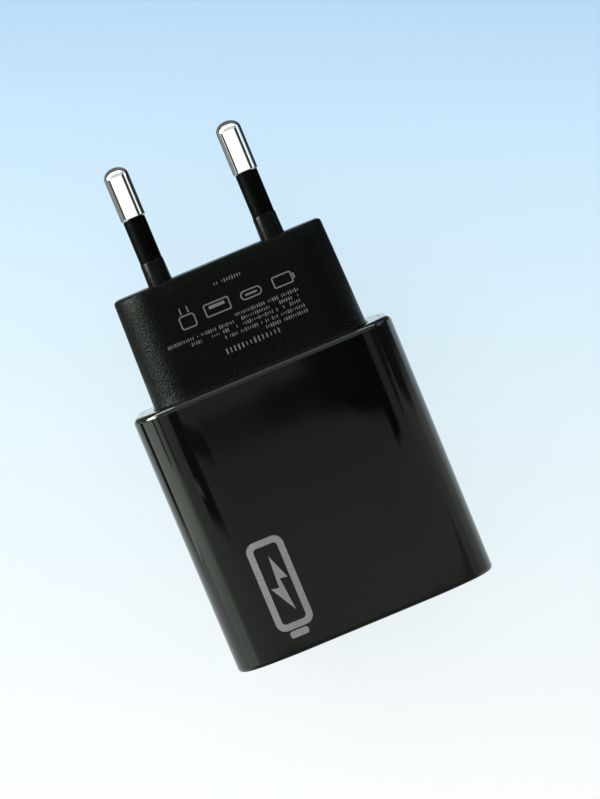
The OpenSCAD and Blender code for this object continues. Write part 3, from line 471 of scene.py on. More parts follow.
# For each row its middle, length, pitch, tick width and tick height in mm, and its seed.
for name, x, y, length, pitch, tick_w, tick_h, seed in (
        ("print_heading", 1.0, 7.1, 9.6, 0.66, 0.17, 0.95, 3),
        ("print_line_1", 6.8, 8.25, 7.1, 0.37, 0.13, 0.62, 11),
        ("print_line_2", 3.6, 9.15, 13.5, 0.37, 0.13, 0.62, 12),
        ("print_line_3", 1.0, 10.1, 18.7, 0.37, 0.13, 0.62, 13),
        ("print_line_4", -0.8, 10.95, 22.3, 0.37, 0.13, 0.62, 14),
        ("print_line_5", 4.7, 11.8, 11.3, 0.37, 0.13, 0.62, 15),
        ("print_foot", 0.8, 17.4, 5.0, 0.42, 0.13, 0.62, 16)):
    line = from_nodes(name, print_row, {
        "Length": length * mm, "Pitch": pitch * mm, "Tick width": tick_w * mm, "Tick height": tick_h * mm,
        "Film": 2 * ink_t, "Gaps": gap_share, "Place": (x * mm, y * mm, block_height(0, y * mm) - ink_t),
        "Tilt": (-print_tilt, 0, 0), "Seed": seed, "Finish": thin_ink})
    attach(line, "root")

icon_row, pen, least_r = 14.0, 0.21, 0.08


def icon_outline(x, y, w, h, r):
    return rounded(x * mm, (icon_row + y) * mm, w * mm, h * mm, r * mm)


def icon_frame(x, y, w, h, r):
    ink_ring(bm, icon_outline(x, y, w, h, r),
             icon_outline(x, y, w - 2 * pen, h - 2 * pen, max(r - pen, least_r)))


def icon_bar(x, y, w, h, r):
    ink_plate(bm, icon_outline(x, y, w, h, r))


# For each shape its middle, width, height and corner radius in mm, from the middle of the row.
bm = bmesh.new()
for shape, *sizes in (
        (icon_frame, -7.6, -0.35, 2.6, 2.2, 0.5), (icon_bar, -8.2, 1.45, pen, 1.1, 0.1),
        (icon_bar, -7.0, 1.45, pen, 1.1, 0.1),
        (icon_frame, -2.6, 0, 4.2, 2.1, 0.3), (icon_bar, -2.6, 0.32, 2.6, 0.5, 0.08),
        (icon_frame, 3.0, 0, 3.5, 1.5, 0.74), (icon_bar, 3.0, 0, 2.0, 0.3, 0.14),
        (icon_frame, 8.2, 0, 3.2, 1.9, 0.35), (icon_bar, 10.05, 0, 0.3, 0.9, 0.1)):
    shape(*sizes)
port_icons = printed(bm, "print_icons", thin_ink, block_height)
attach(port_icons, "root")

# Plug pins: brass turned to 4 mm with a domed end, plated with bright nickel. The thin core behind the
# bare end runs through the insulating sleeve into the cover, where a head stops it.
pin_low, pin_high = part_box("line_pin")
pin_tail, tip_y = pin_low.y, pin_high.y
pin_r, core_r, bare_l, dome_h, pin_break = 2.0 * mm, 1.2 * mm, 8.6 * mm, 1.5 * mm, 0.3 * mm
break_in, break_up, pole_r, DOME_STEPS = 0.08 * mm, 0.14 * mm, 0.004 * mm, 14


def turned(bm, x, profile, steps=64):
    """Solid of revolution about an axis along Y at that x; the profile is pairs of radius and y."""
    rings = skin(bm, [circle(x, z_mid, max(r, pole_r), y, steps) for r, y in profile])
    bm.faces.new(rings[0])
    bm.faces.new(rings[-1])


nickel, tree, shader = new_finish("bright_nickel")
shader.inputs["Metallic"].default_value = 1.0
spread(tree, noise(tree, 500, 3), (0.90, 0.90, 0.885), (0.94, 0.94, 0.93), shader.inputs["Base Color"])
draw_lines = noise(tree, 6000, 2, (1, 0.02, 1))
spread(tree, draw_lines, 0.02, 0.05, shader.inputs["Roughness"])
bump(tree, draw_lines, 0.000004, 0.15, shader)

bare = tip_y - bare_l
pin_profile = [(core_r, pin_tail), (core_r, bare), (pin_r - pin_break, bare),
               (pin_r - break_in, bare + break_up), (pin_r, bare + pin_break),
               (pin_r, bare + pin_break + hold), (pin_r, tip_y - dome_h - hold)]
pin_profile += [(pin_r * math.cos(t), tip_y - dome_h * (1 - math.sin(t)))
                for t in between(0, QUARTER, DOME_STEPS)[:-1]] + [(0, tip_y)]
for name, side in (("line_pin", -1), ("neutral_pin", 1)):
    bm = bmesh.new()
    turned(bm, side * pin_x, pin_profile)
    pin = finished(bm, name + "_metal", nickel)
    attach(pin, "root")
    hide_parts(name)

# Pin sleeves: dull black polyamide moulded round the core of each pin, slimmer than the bare end, with
# a smoother conical collar that fills the bore of the plug face.
sleeve_r, collar_r, collar_end_r, collar_l = 1.8 * mm, 1.99 * mm, 1.89 * mm, 3.7 * mm
step_round, cone_lift, sleeve_break, STEP_STEPS = 0.4 * mm, 0.005 * mm, 0.1 * mm, 6
step_turn = math.acos(1 - (collar_end_r - sleeve_r) / step_round)
polyamide = (0.0006, 0.0007, 0.0006), (0.0016, 0.0018, 0.0016)
sleeve_finish = eroded_grain("pin_sleeve_polyamide", *polyamide, 0.32, 0.00003, 0.03)
collar_finish = eroded_grain("pin_collar_polyamide", *polyamide, 0.22, 0.00002, 0.10)
collar_end = y_face + collar_l
step_start = collar_end - step_round * math.sin(step_turn)
sleeve_profile = [(core_r, y_wall), (collar_r, y_wall), (collar_r, y_face),
                  (collar_end_r + cone_lift, step_start - hold)]
sleeve_profile += [(collar_end_r - step_round * (1 - math.cos(t)), step_start + step_round * math.sin(t))
                   for t in between(0, step_turn, STEP_STEPS)]
sleeve_profile += [(sleeve_r, collar_end + hold), (sleeve_r, bare - sleeve_break),
                   (sleeve_r - sleeve_break, bare), (core_r, bare)]
for name, side in (("line_pin_sleeve", -1), ("neutral_pin_sleeve", 1)):
    bm = bmesh.new()
    turned(bm, side * pin_x, sleeve_profile)
    for face in bm.faces:
        face.material_index = int(max(v.co.y for v in face.verts) < collar_end + hold / 2)
    sleeve = finished(bm, name + "_moulding", sleeve_finish)
    sleeve.data.materials.append(collar_finish)
    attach(sleeve, "root")
    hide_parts(name)

# Port panel: a matte plate set 0.4 mm back in the front rim of the body, with an opening for each
# port. The openings are broken at the edge so that a plug finds its way in.
port_clear, opening_break, panel_break = 0.2 * mm, 0.25 * mm, 0.15 * mm
shell_t, c_flat, SLOT_STEPS = 0.3 * mm, 0.05 * mm, 8
a_low, a_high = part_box("usb_a_shell")
c_low, c_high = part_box("usb_c_shell")
a_w, a_h, a_r, a_z = a_high.x - a_low.x, a_high.z - a_low.z, 0.6 * mm, (a_low.z + a_high.z) / 2
c_w, c_h, c_z = c_high.x - c_low.x, c_high.z - c_low.z, (c_low.z + c_high.z) / 2
c_r = c_h / 2 - c_flat


def slot_loop(y, w, h, r, z):
    return loop_at(y, rounded(0, 0, w, h, r, SLOT_STEPS), z)


def opening(bm, w, h, r, z):
    grow = 2 * port_clear
    wide = grow + 2 * opening_break
    return skin(bm, [slot_loop(y_panel_out, w + wide, h + wide, r + port_clear + opening_break, z),
                     slot_loop(y_panel_out + opening_break, w + grow, h + grow, r + port_clear, z),
                     slot_loop(y_panel_in, w + grow, h + grow, r + port_clear, z)])


panel_finish = eroded_grain("port_panel_nylon", (0.0050, 0.0055, 0.0050), (0.0105, 0.0115, 0.0105),
                            0.38, 0.00016, 0.3)
bm = bmesh.new()
edge = skin(bm, [loop_at(y_panel_in, body_outline(bore_w, flange_inset)),
                 loop_at(y_panel_out + panel_break, body_outline(bore_w, flange_inset)),
                 loop_at(y_panel_out, body_outline(bore_w, flange_inset + panel_break))])
holes = [opening(bm, a_w, a_h, a_r, a_z), opening(bm, c_w, c_h, c_r, c_z)]
plate(bm, [edge[-1]] + [hole[0] for hole in holes])
plate(bm, [edge[0]] + [hole[-1] for hole in holes])
port_plate = finished(bm, "port_plate", panel_finish)
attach(port_plate, "root")
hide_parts("front_panel")

# Port shells: thin steel sheet, folded to a box for the wide port and drawn to a flat oval for the
# small one, plated with dull nickel. The wide shell has a pair of sprung tongues in its floor.
y_mouth = a_low.y
shell_l = 13.6 * mm
y_shell_back = y_mouth + shell_l
LIP_STEPS, SPRING_STEPS = 6, 8
spring_x, spring_half, spring_t = 2.9 * mm, 0.8 * mm, 0.2 * mm
spring_in, spring_l, spring_rise, spring_sink = 2.2 * mm, 4.8 * mm, 0.55 * mm, 0.05 * mm

steel, tree, shader = new_finish("plated_shell_steel")
shader.inputs["Metallic"].default_value = 1.0
spread(tree, noise(tree, 1500, 3, (1, 0.15, 1)), (0.50, 0.50, 0.49), (0.66, 0.66, 0.65),
       shader.inputs["Base Color"])
spread(tree, noise(tree, 900, 3), 0.22, 0.36, shader.inputs["Roughness"])
bump(tree, noise(tree, 7000, 2, (1, 0.1, 1)), 0.000006, 0.3, shader)


def oblong(y, left, right, low, high):
    return [Vector(p) for p in ((left, y, low), (right, y, low), (right, y, high), (left, y, high))]


def port_shell(name, w, h, r, z, springs):
    lip = shell_t / 2
    bm = bmesh.new()
    walls = [(y_shell_back, 0)]
    walls += [(y_mouth + lip * (1 - math.sin(t)), lip * (1 - math.cos(t)))
              for t in between(0, math.pi, LIP_STEPS)]
    walls.append((y_shell_back, shell_t))
    skin(bm, [slot_loop(y, w - 2 * i, h - 2 * i, r - i, z) for y, i in walls], round_trip=True)
    for x in springs:
        loops = []
        for t in between(0, math.pi, SPRING_STEPS):
            y = y_mouth + spring_in + spring_l * t / math.pi
            low = z - h / 2 + shell_t - spring_sink + spring_rise * math.sin(t) ** 2
            loops.append(oblong(y, x - spring_half, x + spring_half, low, low + spring_t))
        skin(bm, loops)
    shell = finished(bm, name + "_sheet", steel)
    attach(shell, "root")
    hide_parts(name)


port_shell("usb_a_shell", a_w, a_h, a_r, a_z, (-spring_x, spring_x))
port_shell("usb_c_shell", c_w, c_h, c_r, c_z, ())

# Port inserts: black liquid-crystal polymer. Each has a base that closes the back of its shell and a
# tongue that carries the contacts; the tip of the tongue is chamfered.
insert_finish = eroded_grain("port_insert_polymer", (0.0090, 0.0092, 0.0090), (0.0160, 0.0164, 0.0160),
                             0.36, 0.00004, 0.4)
slack, tongue_root, tongue_break, tip_flat = 0.1 * mm, 0.2 * mm, 0.2 * mm, 0.6
a_base_l, a_tongue_w, a_tongue_t, a_tip = 3.2 * mm, 11.1 * mm, 1.84 * mm, 2.0 * mm
c_base, c_tongue_w, c_half, c_tip = 6.0 * mm, 6.69 * mm, 0.35 * mm, 1.0 * mm


def port_insert(name, shell, base_front, tongue_w, z_low, z_high, tip):
    w, h, r, z = shell
    gap = 2 * shell_t + slack
    bm = bmesh.new()
    rings = skin(bm, [slot_loop(y, w - gap, h - gap, r - shell_t, z) for y in (base_front, y_shell_back)])
    bm.faces.new(rings[0])
    bm.faces.new(rings[1])
    loops = []
    for y, i in ((base_front + tongue_root, 0), (tip + tongue_break, 0), (tip, tongue_break)):
        half, low, high = tongue_w / 2 - i, z_low + i * tip_flat, z_high - i * tip_flat
        loops.append(oblong(y, -half, half, low, high))
    rings = skin(bm, loops)
    bm.faces.new(rings[0])
    bm.faces.new(rings[-1])
    insert = finished(bm, name + "_insert", insert_finish)
    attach(insert, "root")
    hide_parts(name)


port_insert("usb_a_tongue", (a_w, a_h, a_r, a_z), y_shell_back - a_base_l, a_tongue_w, a_z, a_z + a_tongue_t,
            y_mouth + a_tip)
port_insert("usb_c_tongue", (c_w, c_h, c_r, c_z), y_mouth + c_base, c_tongue_w, c_z - c_half, c_z + c_half,
            y_mouth + c_tip)

# Port contacts: stamped phosphor bronze with a gold flash, in a row of four under the wide tongue and
# a row of twelve on each face of the thin one.
gold, tree, shader = new_finish("gold_flash")
shader.inputs["Metallic"].default_value = 1.0
spread(tree, noise(tree, 2200, 3), (0.72, 0.50, 0.18), (0.84, 0.62, 0.27), shader.inputs["Base Color"])
spread(tree, noise(tree, 1300, 2), 0.20, 0.34, shader.inputs["Roughness"])
bump(tree, noise(tree, 8000, 2, (1, 0.1, 1)), 0.000004, 0.3, shader)

pad_round = 0.35
contact_row, given, result = node_tree("contact_row", [
    ("Count", "NodeSocketInt"), ("Pitch", "NodeSocketFloat"), ("Width", "NodeSocketFloat"),
    ("Length", "NodeSocketFloat"), ("Thickness", "NodeSocketFloat"), ("First", "NodeSocketVector"),
    ("Finish", "NodeSocketMaterial")])
across = step(contact_row, "ShaderNodeCombineXYZ", X=given.outputs["Pitch"]).outputs[0]
row = step(contact_row, "GeometryNodeMeshLine", Count=given.outputs["Count"],
           Start_Location=given.outputs["First"], Offset=across).outputs[0]
end_round = calc(contact_row, "MULTIPLY", given.outputs["Width"], pad_round)
pad = rounded_bar(contact_row, given.outputs["Width"], given.outputs["Length"],
                  given.outputs["Thickness"], end_round)
row = step(contact_row, "GeometryNodeInstanceOnPoints", Points=row, Instance=pad).outputs[0]
row = step(contact_row, "GeometryNodeRealizeInstances", Geometry=row).outputs[0]
row = step(contact_row, "GeometryNodeSetMaterial", Geometry=row, Material=given.outputs["Finish"]).outputs[0]
contact_row.links.new(row, result.inputs[0])

a_pitch, a_pads_in, a_pad = 2.34 * mm, 2.5 * mm, (1.0 * mm, 9.4 * mm, 0.16 * mm)
c_pitch, c_pads_in, c_pad = 0.5 * mm, 1.5 * mm, (0.25 * mm, 4.5 * mm, 0.08 * mm)
for name, node, count, pitch, (w, l, t), y, z in (
        ("usb_a_pads", "usb_a_contacts", 4, a_pitch, a_pad, y_mouth + a_pads_in, a_z - a_pad[2]),
        ("usb_c_pads_upper", "usb_c_contacts", 12, c_pitch, c_pad, y_mouth + c_pads_in, c_z + c_half),
        ("usb_c_pads_lower", "usb_c_contacts", 12, c_pitch, c_pad, y_mouth + c_pads_in,
         c_z - c_half - c_pad[2])):
    pads = from_nodes(name, contact_row, {
        "Count": count, "Pitch": pitch, "Width": w, "Length": l, "Thickness": t,
        "First": (-pitch * (count - 1) / 2, y + l / 2, z), "Finish": gold})
    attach(pads, "root")
    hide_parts(node)

# Pin retainer and contact leaves: a black nylon plate staked behind the pin heads, and two bronze
# springs soldered to the board that press on the pin tails.


def inner_finish(name, dark, light, scale, rough, depth, metal=0.0, stretch=(1, 1, 1)):
    """Two-tone finish with a fine relief for a part inside the body."""
    finish, tree, shader = new_finish(name)
    pattern, swing = noise(tree, scale, 3, stretch), 0.07
    spread(tree, pattern, dark, light, shader.inputs["Base Color"])
    spread(tree, noise(tree, scale / 2, 2, stretch), rough - swing, rough + swing, shader.inputs["Roughness"])
    bump(tree, pattern, depth, 0.5, shader)
    shader.inputs["Metallic"].default_value = metal
    return finish


def dress(finish, *names):
    for name in names:
        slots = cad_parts[name].data.materials
        slots.clear()
        slots.append(finish)


dress(inner_finish("retainer_nylon", (0.010, 0.010, 0.010), (0.018, 0.018, 0.018), 3000, 0.5, 0.00003),
      "pin_retainer")
dress(inner_finish("spring_bronze", (0.52, 0.33, 0.14), (0.64, 0.43, 0.20), 1800, 0.32, 0.000008, 1.0,
                   (1, 0.1, 1)), "line_contact", "neutral_contact")

# Boards: green glass-epoxy laminate, the main board in the rails of the body and the port board
# upright on two tabs through it. The weave shows faintly under the solder resist.
dress(inner_finish("board_laminate", (0.010, 0.075, 0.030), (0.018, 0.105, 0.044), 1400, 0.38, 0.00001,
                   stretch=(1, 1, 4)), "main_board", "port_board")

# Mains parts: a moulded brown fuse, a blue epoxy-dipped varistor, a yellow film capacitor and a ferrite
# ring choke with two copper windings in a black cradle, in a row inside the plug block.
dress(inner_finish("fuse_moulding", (0.075, 0.030, 0.014), (0.105, 0.046, 0.022), 2500, 0.45, 0.00002),
      "fuse")
dress(inner_finish("dipped_epoxy_blue", (0.020, 0.075, 0.24), (0.030, 0.105, 0.32), 700, 0.28, 0.00005),
      "varistor")
dress(inner_finish("film_case_yellow", (0.58, 0.36, 0.030), (0.70, 0.46, 0.050), 1600, 0.40, 0.00002),
      "x_capacitor")
dress(inner_finish("sintered_ferrite", (0.030, 0.031, 0.032), (0.060, 0.061, 0.062), 3600, 0.62, 0.00005),
      "choke_core", "transformer_core_lower", "transformer_core_upper")
dress(inner_finish("enamelled_copper", (0.40, 0.14, 0.045), (0.60, 0.24, 0.085), 1500, 0.28, 0.0001, 0.8,
                   (0.15, 4, 0.15)), "choke_windings")
dress(inner_finish("cradle_nylon", (0.011, 0.011, 0.011), (0.020, 0.020, 0.020), 3000, 0.5, 0.00003),
      "choke_base")

# Transformer: two ferrite halves round a phenolic bobbin, the coil under yellow polyester tape and one
# more turn of the tape round the core, on tinned pins.
dress(inner_finish("bobbin_phenolic", (0.014, 0.022, 0.028), (0.024, 0.034, 0.042), 2600, 0.48, 0.00002),
      "transformer_bobbin")
dress(inner_finish("polyester_tape", (0.52, 0.38, 0.060), (0.66, 0.50, 0.100), 900, 0.24, 0.00003,
                   stretch=(1, 1, 6)), "transformer_winding", "transformer_tape")

# Capacitor cans: bulk cans in a dark sleeve, output cans in bare aluminium, each crimped onto a black
# rubber seal that stands on the board.
dress(inner_finish("can_sleeve_dark", (0.012, 0.014, 0.020), (0.022, 0.025, 0.034), 1200, 0.30, 0.00001),
      "bulk_capacitor_front", "bulk_capacitor_rear")
dress(inner_finish("can_aluminium", (0.62, 0.62, 0.61), (0.76, 0.76, 0.75), 2600, 0.34, 0.00001, 1.0,
                   (1, 1, 0.1)), "output_capacitor_left", "output_capacitor_right")
dress(inner_finish("seal_rubber", (0.008, 0.008, 0.008), (0.014, 0.014, 0.014), 2400, 0.70, 0.00002),
      "bulk_capacitor_seals", "output_capacitor_seals")

# Leads and solder: tinned copper leads of the parts and pins of the transformer through the main
# board, each in a bright cone of solder.
dress(inner_finish("tinned_copper", (0.60, 0.60, 0.58), (0.74, 0.74, 0.72), 2400, 0.30, 0.00001, 1.0),
      "component_leads", "transformer_pins", "solder_joints")

# Chips: black moulded packages under the main board and on the port board, small resistors and tan
# ceramic capacitors in rows, and the blue safety capacitor beside the transformer.
dress(inner_finish("chip_moulding", (0.012, 0.012, 0.013), (0.022, 0.022, 0.023), 5200, 0.52, 0.00003),
      "power_switch", "controller_chip", "bridge_rectifier", "optocoupler", "sync_rectifier", "protocol_chip")
dress(inner_finish("resistor_glaze", (0.008, 0.008, 0.009), (0.016, 0.016, 0.018), 4000, 0.25, 0.00001),
      "chip_resistors")
dress(inner_finish("ceramic_tan", (0.30, 0.17, 0.085), (0.40, 0.24, 0.130), 3500, 0.45, 0.00002),
      "chip_capacitors")
dress(inner_finish("safety_capacitor_blue", (0.022, 0.085, 0.26), (0.032, 0.115, 0.34), 900, 0.32, 0.00003),
      "y_capacitor")

# Heat path and insulation: a soft blue pad from the power switch down to a white polyester sheet that
# lies on the floor of the body.
dress(inner_finish("gap_pad", (0.20, 0.30, 0.46), (0.28, 0.39, 0.56), 1800, 0.80, 0.00005), "thermal_pad")
dress(inner_finish("polyester_sheet", (0.66, 0.67, 0.66), (0.78, 0.79, 0.78), 1200, 0.50, 0.00002),
      "insulation_sheet")

# Floor: a wide sheet of paper that runs from pale blue at the pins to white past the port end, so the
# flat lay has a soft sky behind it.
eye_roll = math.radians(22.61)
paper_half, paper_glow, sky_start, sky_end = 3.0, 0.84, 0.0604, -0.0680
sky = ((0.0, (185, 218, 243)), (0.14, (201, 230, 252)), (0.30, (214, 239, 254)), (0.52, (230, 247, 254)),
       (0.75, (242, 251, 254)), (1.0, (252, 254, 254)))


def sheet(name, corners):
    """One flat face as an object of its own."""
    bm = bmesh.new()
    bm.faces.new([bm.verts.new(corner) for corner in corners])
    piece = bpy.data.objects.new(name, bpy.data.meshes.new(name))
    bm.to_mesh(piece.data)
    bm.free()
    bpy.context.scene.collection.objects.link(piece)
    return piece


def linear(level):
    """Linear light for one channel of a screen colour."""
    c = level / 255
    return c / 12.92 if c <= 0.04045 else ((c + 0.055) / 1.055) ** 2.4


def bare_tree(owner):
    owner.use_nodes = True
    owner.node_tree.nodes.clear()
    return owner.node_tree


def mixed(tree, share, first, second, output):
    """Shows the second shader by that share and the first by the rest."""
    both = tree.nodes.new("ShaderNodeMixShader")
    for socket, value in zip(both.inputs, (share, first, second)):
        feed(tree, socket, value)
    tree.links.new(both.outputs[0], tree.nodes.new(output).inputs["Surface"])


floor = sheet("floor", [(x * paper_half, y * paper_half, 0) for x, y in ((-1, -1), (1, -1), (1, 1), (-1, 1))])
paper = bpy.data.materials.new("graded_paper")
tree = bare_tree(paper)
place = tree.nodes.new("ShaderNodeTexCoord").outputs["Object"]
place = step(tree, "ShaderNodeMapping", Vector=place, Rotation=(0, 0, eye_roll)).outputs[0]
height = step(tree, "ShaderNodeSeparateXYZ", Vector=place).outputs["Y"]
reach = step(tree, "ShaderNodeMapRange", Value=height, From_Min=sky_start, From_Max=sky_end).outputs[0]
ramp = step(tree, "ShaderNodeValToRGB", Fac=reach)
while len(ramp.color_ramp.elements) < len(sky):
    ramp.color_ramp.elements.new(0.5)
for element, (at, colour) in zip(ramp.color_ramp.elements, sky):
    element.position = at
    element.color = tuple(linear(c) for c in colour) + (1,)
lit = step(tree, "ShaderNodeBsdfDiffuse", Color=ramp.outputs["Color"]).outputs[0]
glow = step(tree, "ShaderNodeEmission", Color=ramp.outputs["Color"]).outputs[0]
ray = tree.nodes.new("ShaderNodeLightPath").outputs
seen = calc(tree, "MAXIMUM", ray["Is Camera Ray"], ray["Is Glossy Ray"])
seen = calc(tree, "MAXIMUM", seen, ray["Is Transmission Ray"])
mixed(tree, calc(tree, "MULTIPLY", seen, paper_glow), lit, glow, "ShaderNodeOutputMaterial")
floor.data.materials.append(paper)

# Studio light: an even pale room, a softbox from the pin end and the left, and two low strips behind
# the pins that draw the edge lines. Cards round the set, which only the gloss sees, give it something
# grey, white or black to mirror.
room_level, lit_spot = 0.84, Vector((0, 0.01, 0.02))
world = bpy.data.worlds.new("studio")
bpy.context.scene.world = world
tree = bare_tree(world)
ray = tree.nodes.new("ShaderNodeLightPath").outputs
seen = calc(tree, "MAXIMUM", ray["Is Camera Ray"], ray["Is Glossy Ray"])
room = step(tree, "ShaderNodeBackground", Color=(1, 1, 1, 1), Strength=room_level).outputs[0]
sky_seen = step(tree, "ShaderNodeBackground", Color=(0.74, 0.86, 0.96, 1), Strength=1.0).outputs[0]
mixed(tree, seen, room, sky_seen, "ShaderNodeOutputWorld")


def softbox(name, middle, width, height, radiance):
    """An area lamp that faces the part; radiance is what a mirror would show of it."""
    lamp = bpy.data.lights.new(name, "AREA")
    lamp.shape = "RECTANGLE"
    lamp.size, lamp.size_y = width, height
    lamp.energy = radiance * math.pi * width * height
    holder = bpy.data.objects.new(name, lamp)
    aim_turn = (lit_spot - Vector(middle)).to_track_quat("-Z", "Y").to_matrix().to_4x4()
    holder.matrix_world = Matrix.Translation(middle) @ aim_turn
    holder.visible_camera = False
    bpy.context.scene.collection.objects.link(holder)


softbox("softbox_left", (-0.40, 0.17, 0.16), 0.24, 0.24, 5.0)
softbox("strip_behind_left", (-0.42, 0.52, 0.12), 0.50, 0.08, 24)
softbox("strip_behind_right", (0.42, 0.52, 0.12), 0.40, 0.08, 9)


def card(name, corners, level, fields=()):
    """A card that shows in gloss alone, of one grey level. A field has its own level and fades in along
    each given axis from the first place to the second."""
    piece = sheet(name, corners)
    finish = bpy.data.materials.new(name)
    tree = bare_tree(finish)
    place = tree.nodes.new("ShaderNodeTexCoord").outputs["Object"]
    value = level
    for other, *fades in fields:
        mask = 1.0
        for axis, start, end in fades:
            along = step(tree, "ShaderNodeVectorMath", {"operation": "DOT_PRODUCT"})
            feed(tree, along.inputs[0], place)
            feed(tree, along.inputs[1], axis)
            fade = step(tree, "ShaderNodeMapRange", {"interpolation_type": "SMOOTHSTEP"},
                        Value=along.outputs["Value"], From_Min=start, From_Max=end).outputs["Result"]
            mask = calc(tree, "MULTIPLY", mask, fade)
        value = calc(tree, "ADD", calc(tree, "MULTIPLY", value, calc(tree, "SUBTRACT", 1.0, mask)),
                     calc(tree, "MULTIPLY", mask, other))
    glow = step(tree, "ShaderNodeEmission", Color=(0.96, 1.0, 0.97, 1), Strength=value).outputs[0]
    tree.links.new(glow, tree.nodes.new("ShaderNodeOutputMaterial").inputs["Surface"])
    piece.data.materials.append(finish)
    for rays in ("camera", "diffuse", "shadow", "transmission", "volume_scatter"):
        setattr(piece, "visible_" + rays, False)


roof_z, wall_x, deep, wall_foot, card_lift = 0.90, 1.95, 0.9, 0.001, 0.3 * mm
X, Y, Z = (1, 0, 0), (0, 1, 0), (0, 0, 1)
slope = (0.036, 1, 0)
front_left, front_right, back_left, back_right = [(x, y) for y in (-deep, deep) for x in (-wall_x, wall_x)]


def upright(a, b, low=wall_foot, high=roof_z):
    """Corners of a wall between two places on the floor."""
    return [(*a, low), (*b, low), (*b, high), (*a, high)]


card("roof_card", [(*place, roof_z) for place in (front_left, front_right, back_right, back_left)], 0.44, [
    (0.24, (Y, -0.137, -0.144), ((0.055, 1, 0), -0.1245, -0.1315), ((-0.055, 1, 0), -0.1245, -0.1315)),
    (0.29, (Y, -0.130, -0.062)),
    (0.56, (X, -0.30, -0.90)),
    (1.50, (X, -0.95, -1.75)),
    (0.12, (X, -1.22, -1.10), (X, -0.98, -1.04), (Y, -0.098, -0.088)),
    (0.02, (X, -0.67, -0.63), (X, -0.44, -0.49), (Y, -0.106, -0.090)),
    (0.70, (X, -0.70, -0.67), (X, -0.58, -0.61), (Y, -0.088, -0.084), (Y, -0.078, -0.081)),
    (0.03, (X, -0.49, -0.45), (X, -0.20, -0.26), (Y, -0.066, -0.060), (Y, -0.046, -0.051)),
    (0.13, (X, -0.26, -0.20), (X, 0.03, 0.0), (Y, -0.065, -0.051), (Y, -0.040, -0.047)),
    (0.04, (X, -0.020, -0.004), (X, 0.05, 0.03), (Y, -0.0615, -0.049), (Y, -0.038, -0.046)),
    (0.0, (X, 0.002, 0.017), (X, 0.70, 0.64), (slope, -0.065, -0.055)),
    (0.0, (X, 0.48, 0.54), (X, 0.70, 0.64), (Y, -0.097, -0.090)),
    (0.07, (X, 0.86, 1.10), (Y, -0.122, -0.100)),
    (0.05, (X, -0.10, 0.02), (Y, -0.034, -0.028)),
    (3.00, (X, -0.18, -0.36), (Y, -0.034, -0.028)),
    (0.68, (Y, 0.100, 0.115)),
    (1.30, (X, -1.93, -1.87), (X, 1.08, 1.02), (Y, 0.023, 0.033), (Y, 0.105, 0.095))])
card("left_card", upright(front_left, back_left), 1.35, [
    (1.95, (Y, -0.25, -0.15)),
    (0.25, (Y, -0.142, -0.120), (Z, 0.64, 0.72)),
    (1.60, (Y, -0.088, -0.072)),
    (0.20, (Y, -0.010, 0.030)),
    (0.02, (Y, -0.010, 0.030), (Z, 0.25, 0.29), (Z, 0.88, 0.84))])
card("right_card", upright(front_right, back_right), 0.52, [
    (0.05, (Y, -0.158, -0.138)),
    (1.20, (Y, -0.025, 0.005), (Z, 0.435, 0.405))])
card("back_card", upright(back_left, back_right), 0.05, [
    (1.20, (X, -1.94, -1.85), (X, 1.10, 1.00))])
card("front_card", upright(front_left, front_right), 0.25)
card("softbox_card", upright((-0.42, 0.09), (-0.42, 0.30), 0.03, 0.27), 32)
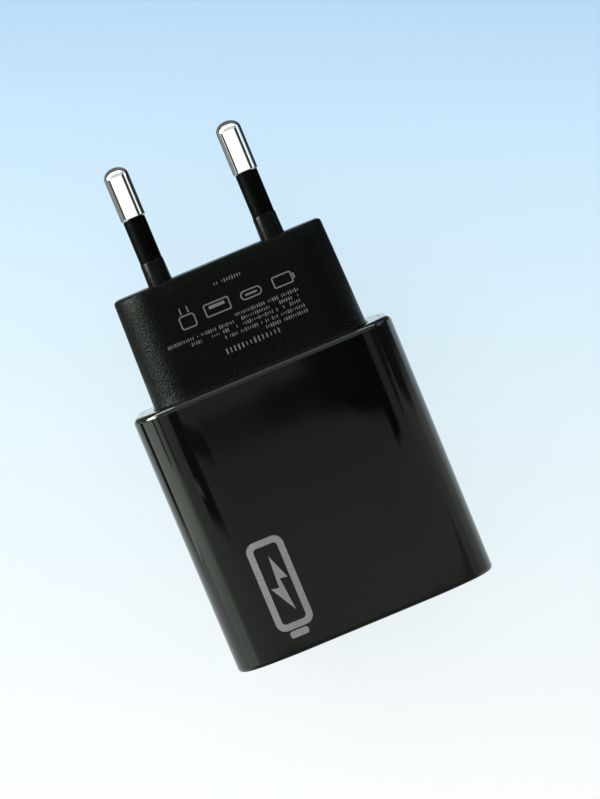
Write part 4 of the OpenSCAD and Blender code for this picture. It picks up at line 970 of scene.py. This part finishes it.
# Cards on the paper: their outlines are in mm.
for name, level, outline, *fields in (
        ("floor_card_right", 0.66, ((60, -80), (1900, -500), (1900, 24), (60, 24)),
         (0.06, ((0.076, 0.997, 0), -0.014, 0.005))),
        ("floor_card_left", 0.80, ((-55, 5), (-64, -30), (-113, -30), (-93, 5)),
         (0.02, ((0.945, -0.326, 0), -0.0553, -0.0613), ((0.823, -0.568, 0), -0.0803, -0.0703),
          (Y, -0.028, -0.014))),
        ("floor_card_left_far", 1.85, ((-114, -30), (-112, 6), (-1900, 6), (-1900, -160))),
        ("floor_card_block_left", 0.30, ((-58, 7), (-22, 7), (-22, 24), (-58, 24))),
        ("floor_card_block_right", 0.10, ((22, 7), (60, 7), (60, 24), (22, 24))),
        ("floor_card_port", 0.20, ((-700, -890), (600, -890), (24, -40.5), (-22, -40.5))),
        ("floor_card_pins", 0.02, ((0, 24), (62, 24), (62, 49), (0, 49))),
        ("floor_card_pins_left", 0.25, ((-1900, 24), (0, 24), (0, 49), (-1900, 110))),
        ("floor_card_tips", 0.14, ((-62, 49), (62, 49), (700, 890), (-700, 890)))):
    card(name, [(x * mm, y * mm, card_lift) for x, y in outline], level, fields)

# Camera: a long lens almost square above the front, rolled so that the pins lean to the upper left.
# It turns a little off its aim, so that the part sits off the middle of the picture.
eye_distance, eye_rise, eye_yaw = 601.2 * mm, math.radians(3.47), math.radians(-0.34)
aim = Vector((0, -9 * mm, 14 * mm))
focal_px, picture_px, off_right_px, off_up_px, sensor = 3833.0, 799, 10.9, 34.5, 36.0
back = Vector((-math.sin(eye_yaw) * math.cos(eye_rise), math.sin(eye_rise),
               math.cos(eye_rise) * math.cos(eye_yaw)))
right = Vector((0, 1, 0)).cross(back).normalized()
up = back.cross(right)
right_seen = math.cos(eye_roll) * right - math.sin(eye_roll) * up
up_seen = math.sin(eye_roll) * right + math.cos(eye_roll) * up
eye = aim + back * eye_distance
centre = aim + (right_seen * off_right_px + up_seen * off_up_px) * (eye_distance / focal_px)
look = (eye - centre).normalized()
side = (right_seen - look * right_seen.dot(look)).normalized()
lens = bpy.data.cameras.new("camera")
lens.sensor_width = sensor
lens.lens = sensor * focal_px / picture_px
camera = bpy.data.objects.new("camera", lens)
camera.matrix_world = Matrix.Translation(eye) @ Matrix((side, look.cross(side), look)).transposed().to_4x4()
bpy.context.scene.collection.objects.link(camera)
bpy.context.scene.camera = camera
bpy.context.scene.view_settings.view_transform = "Standard"
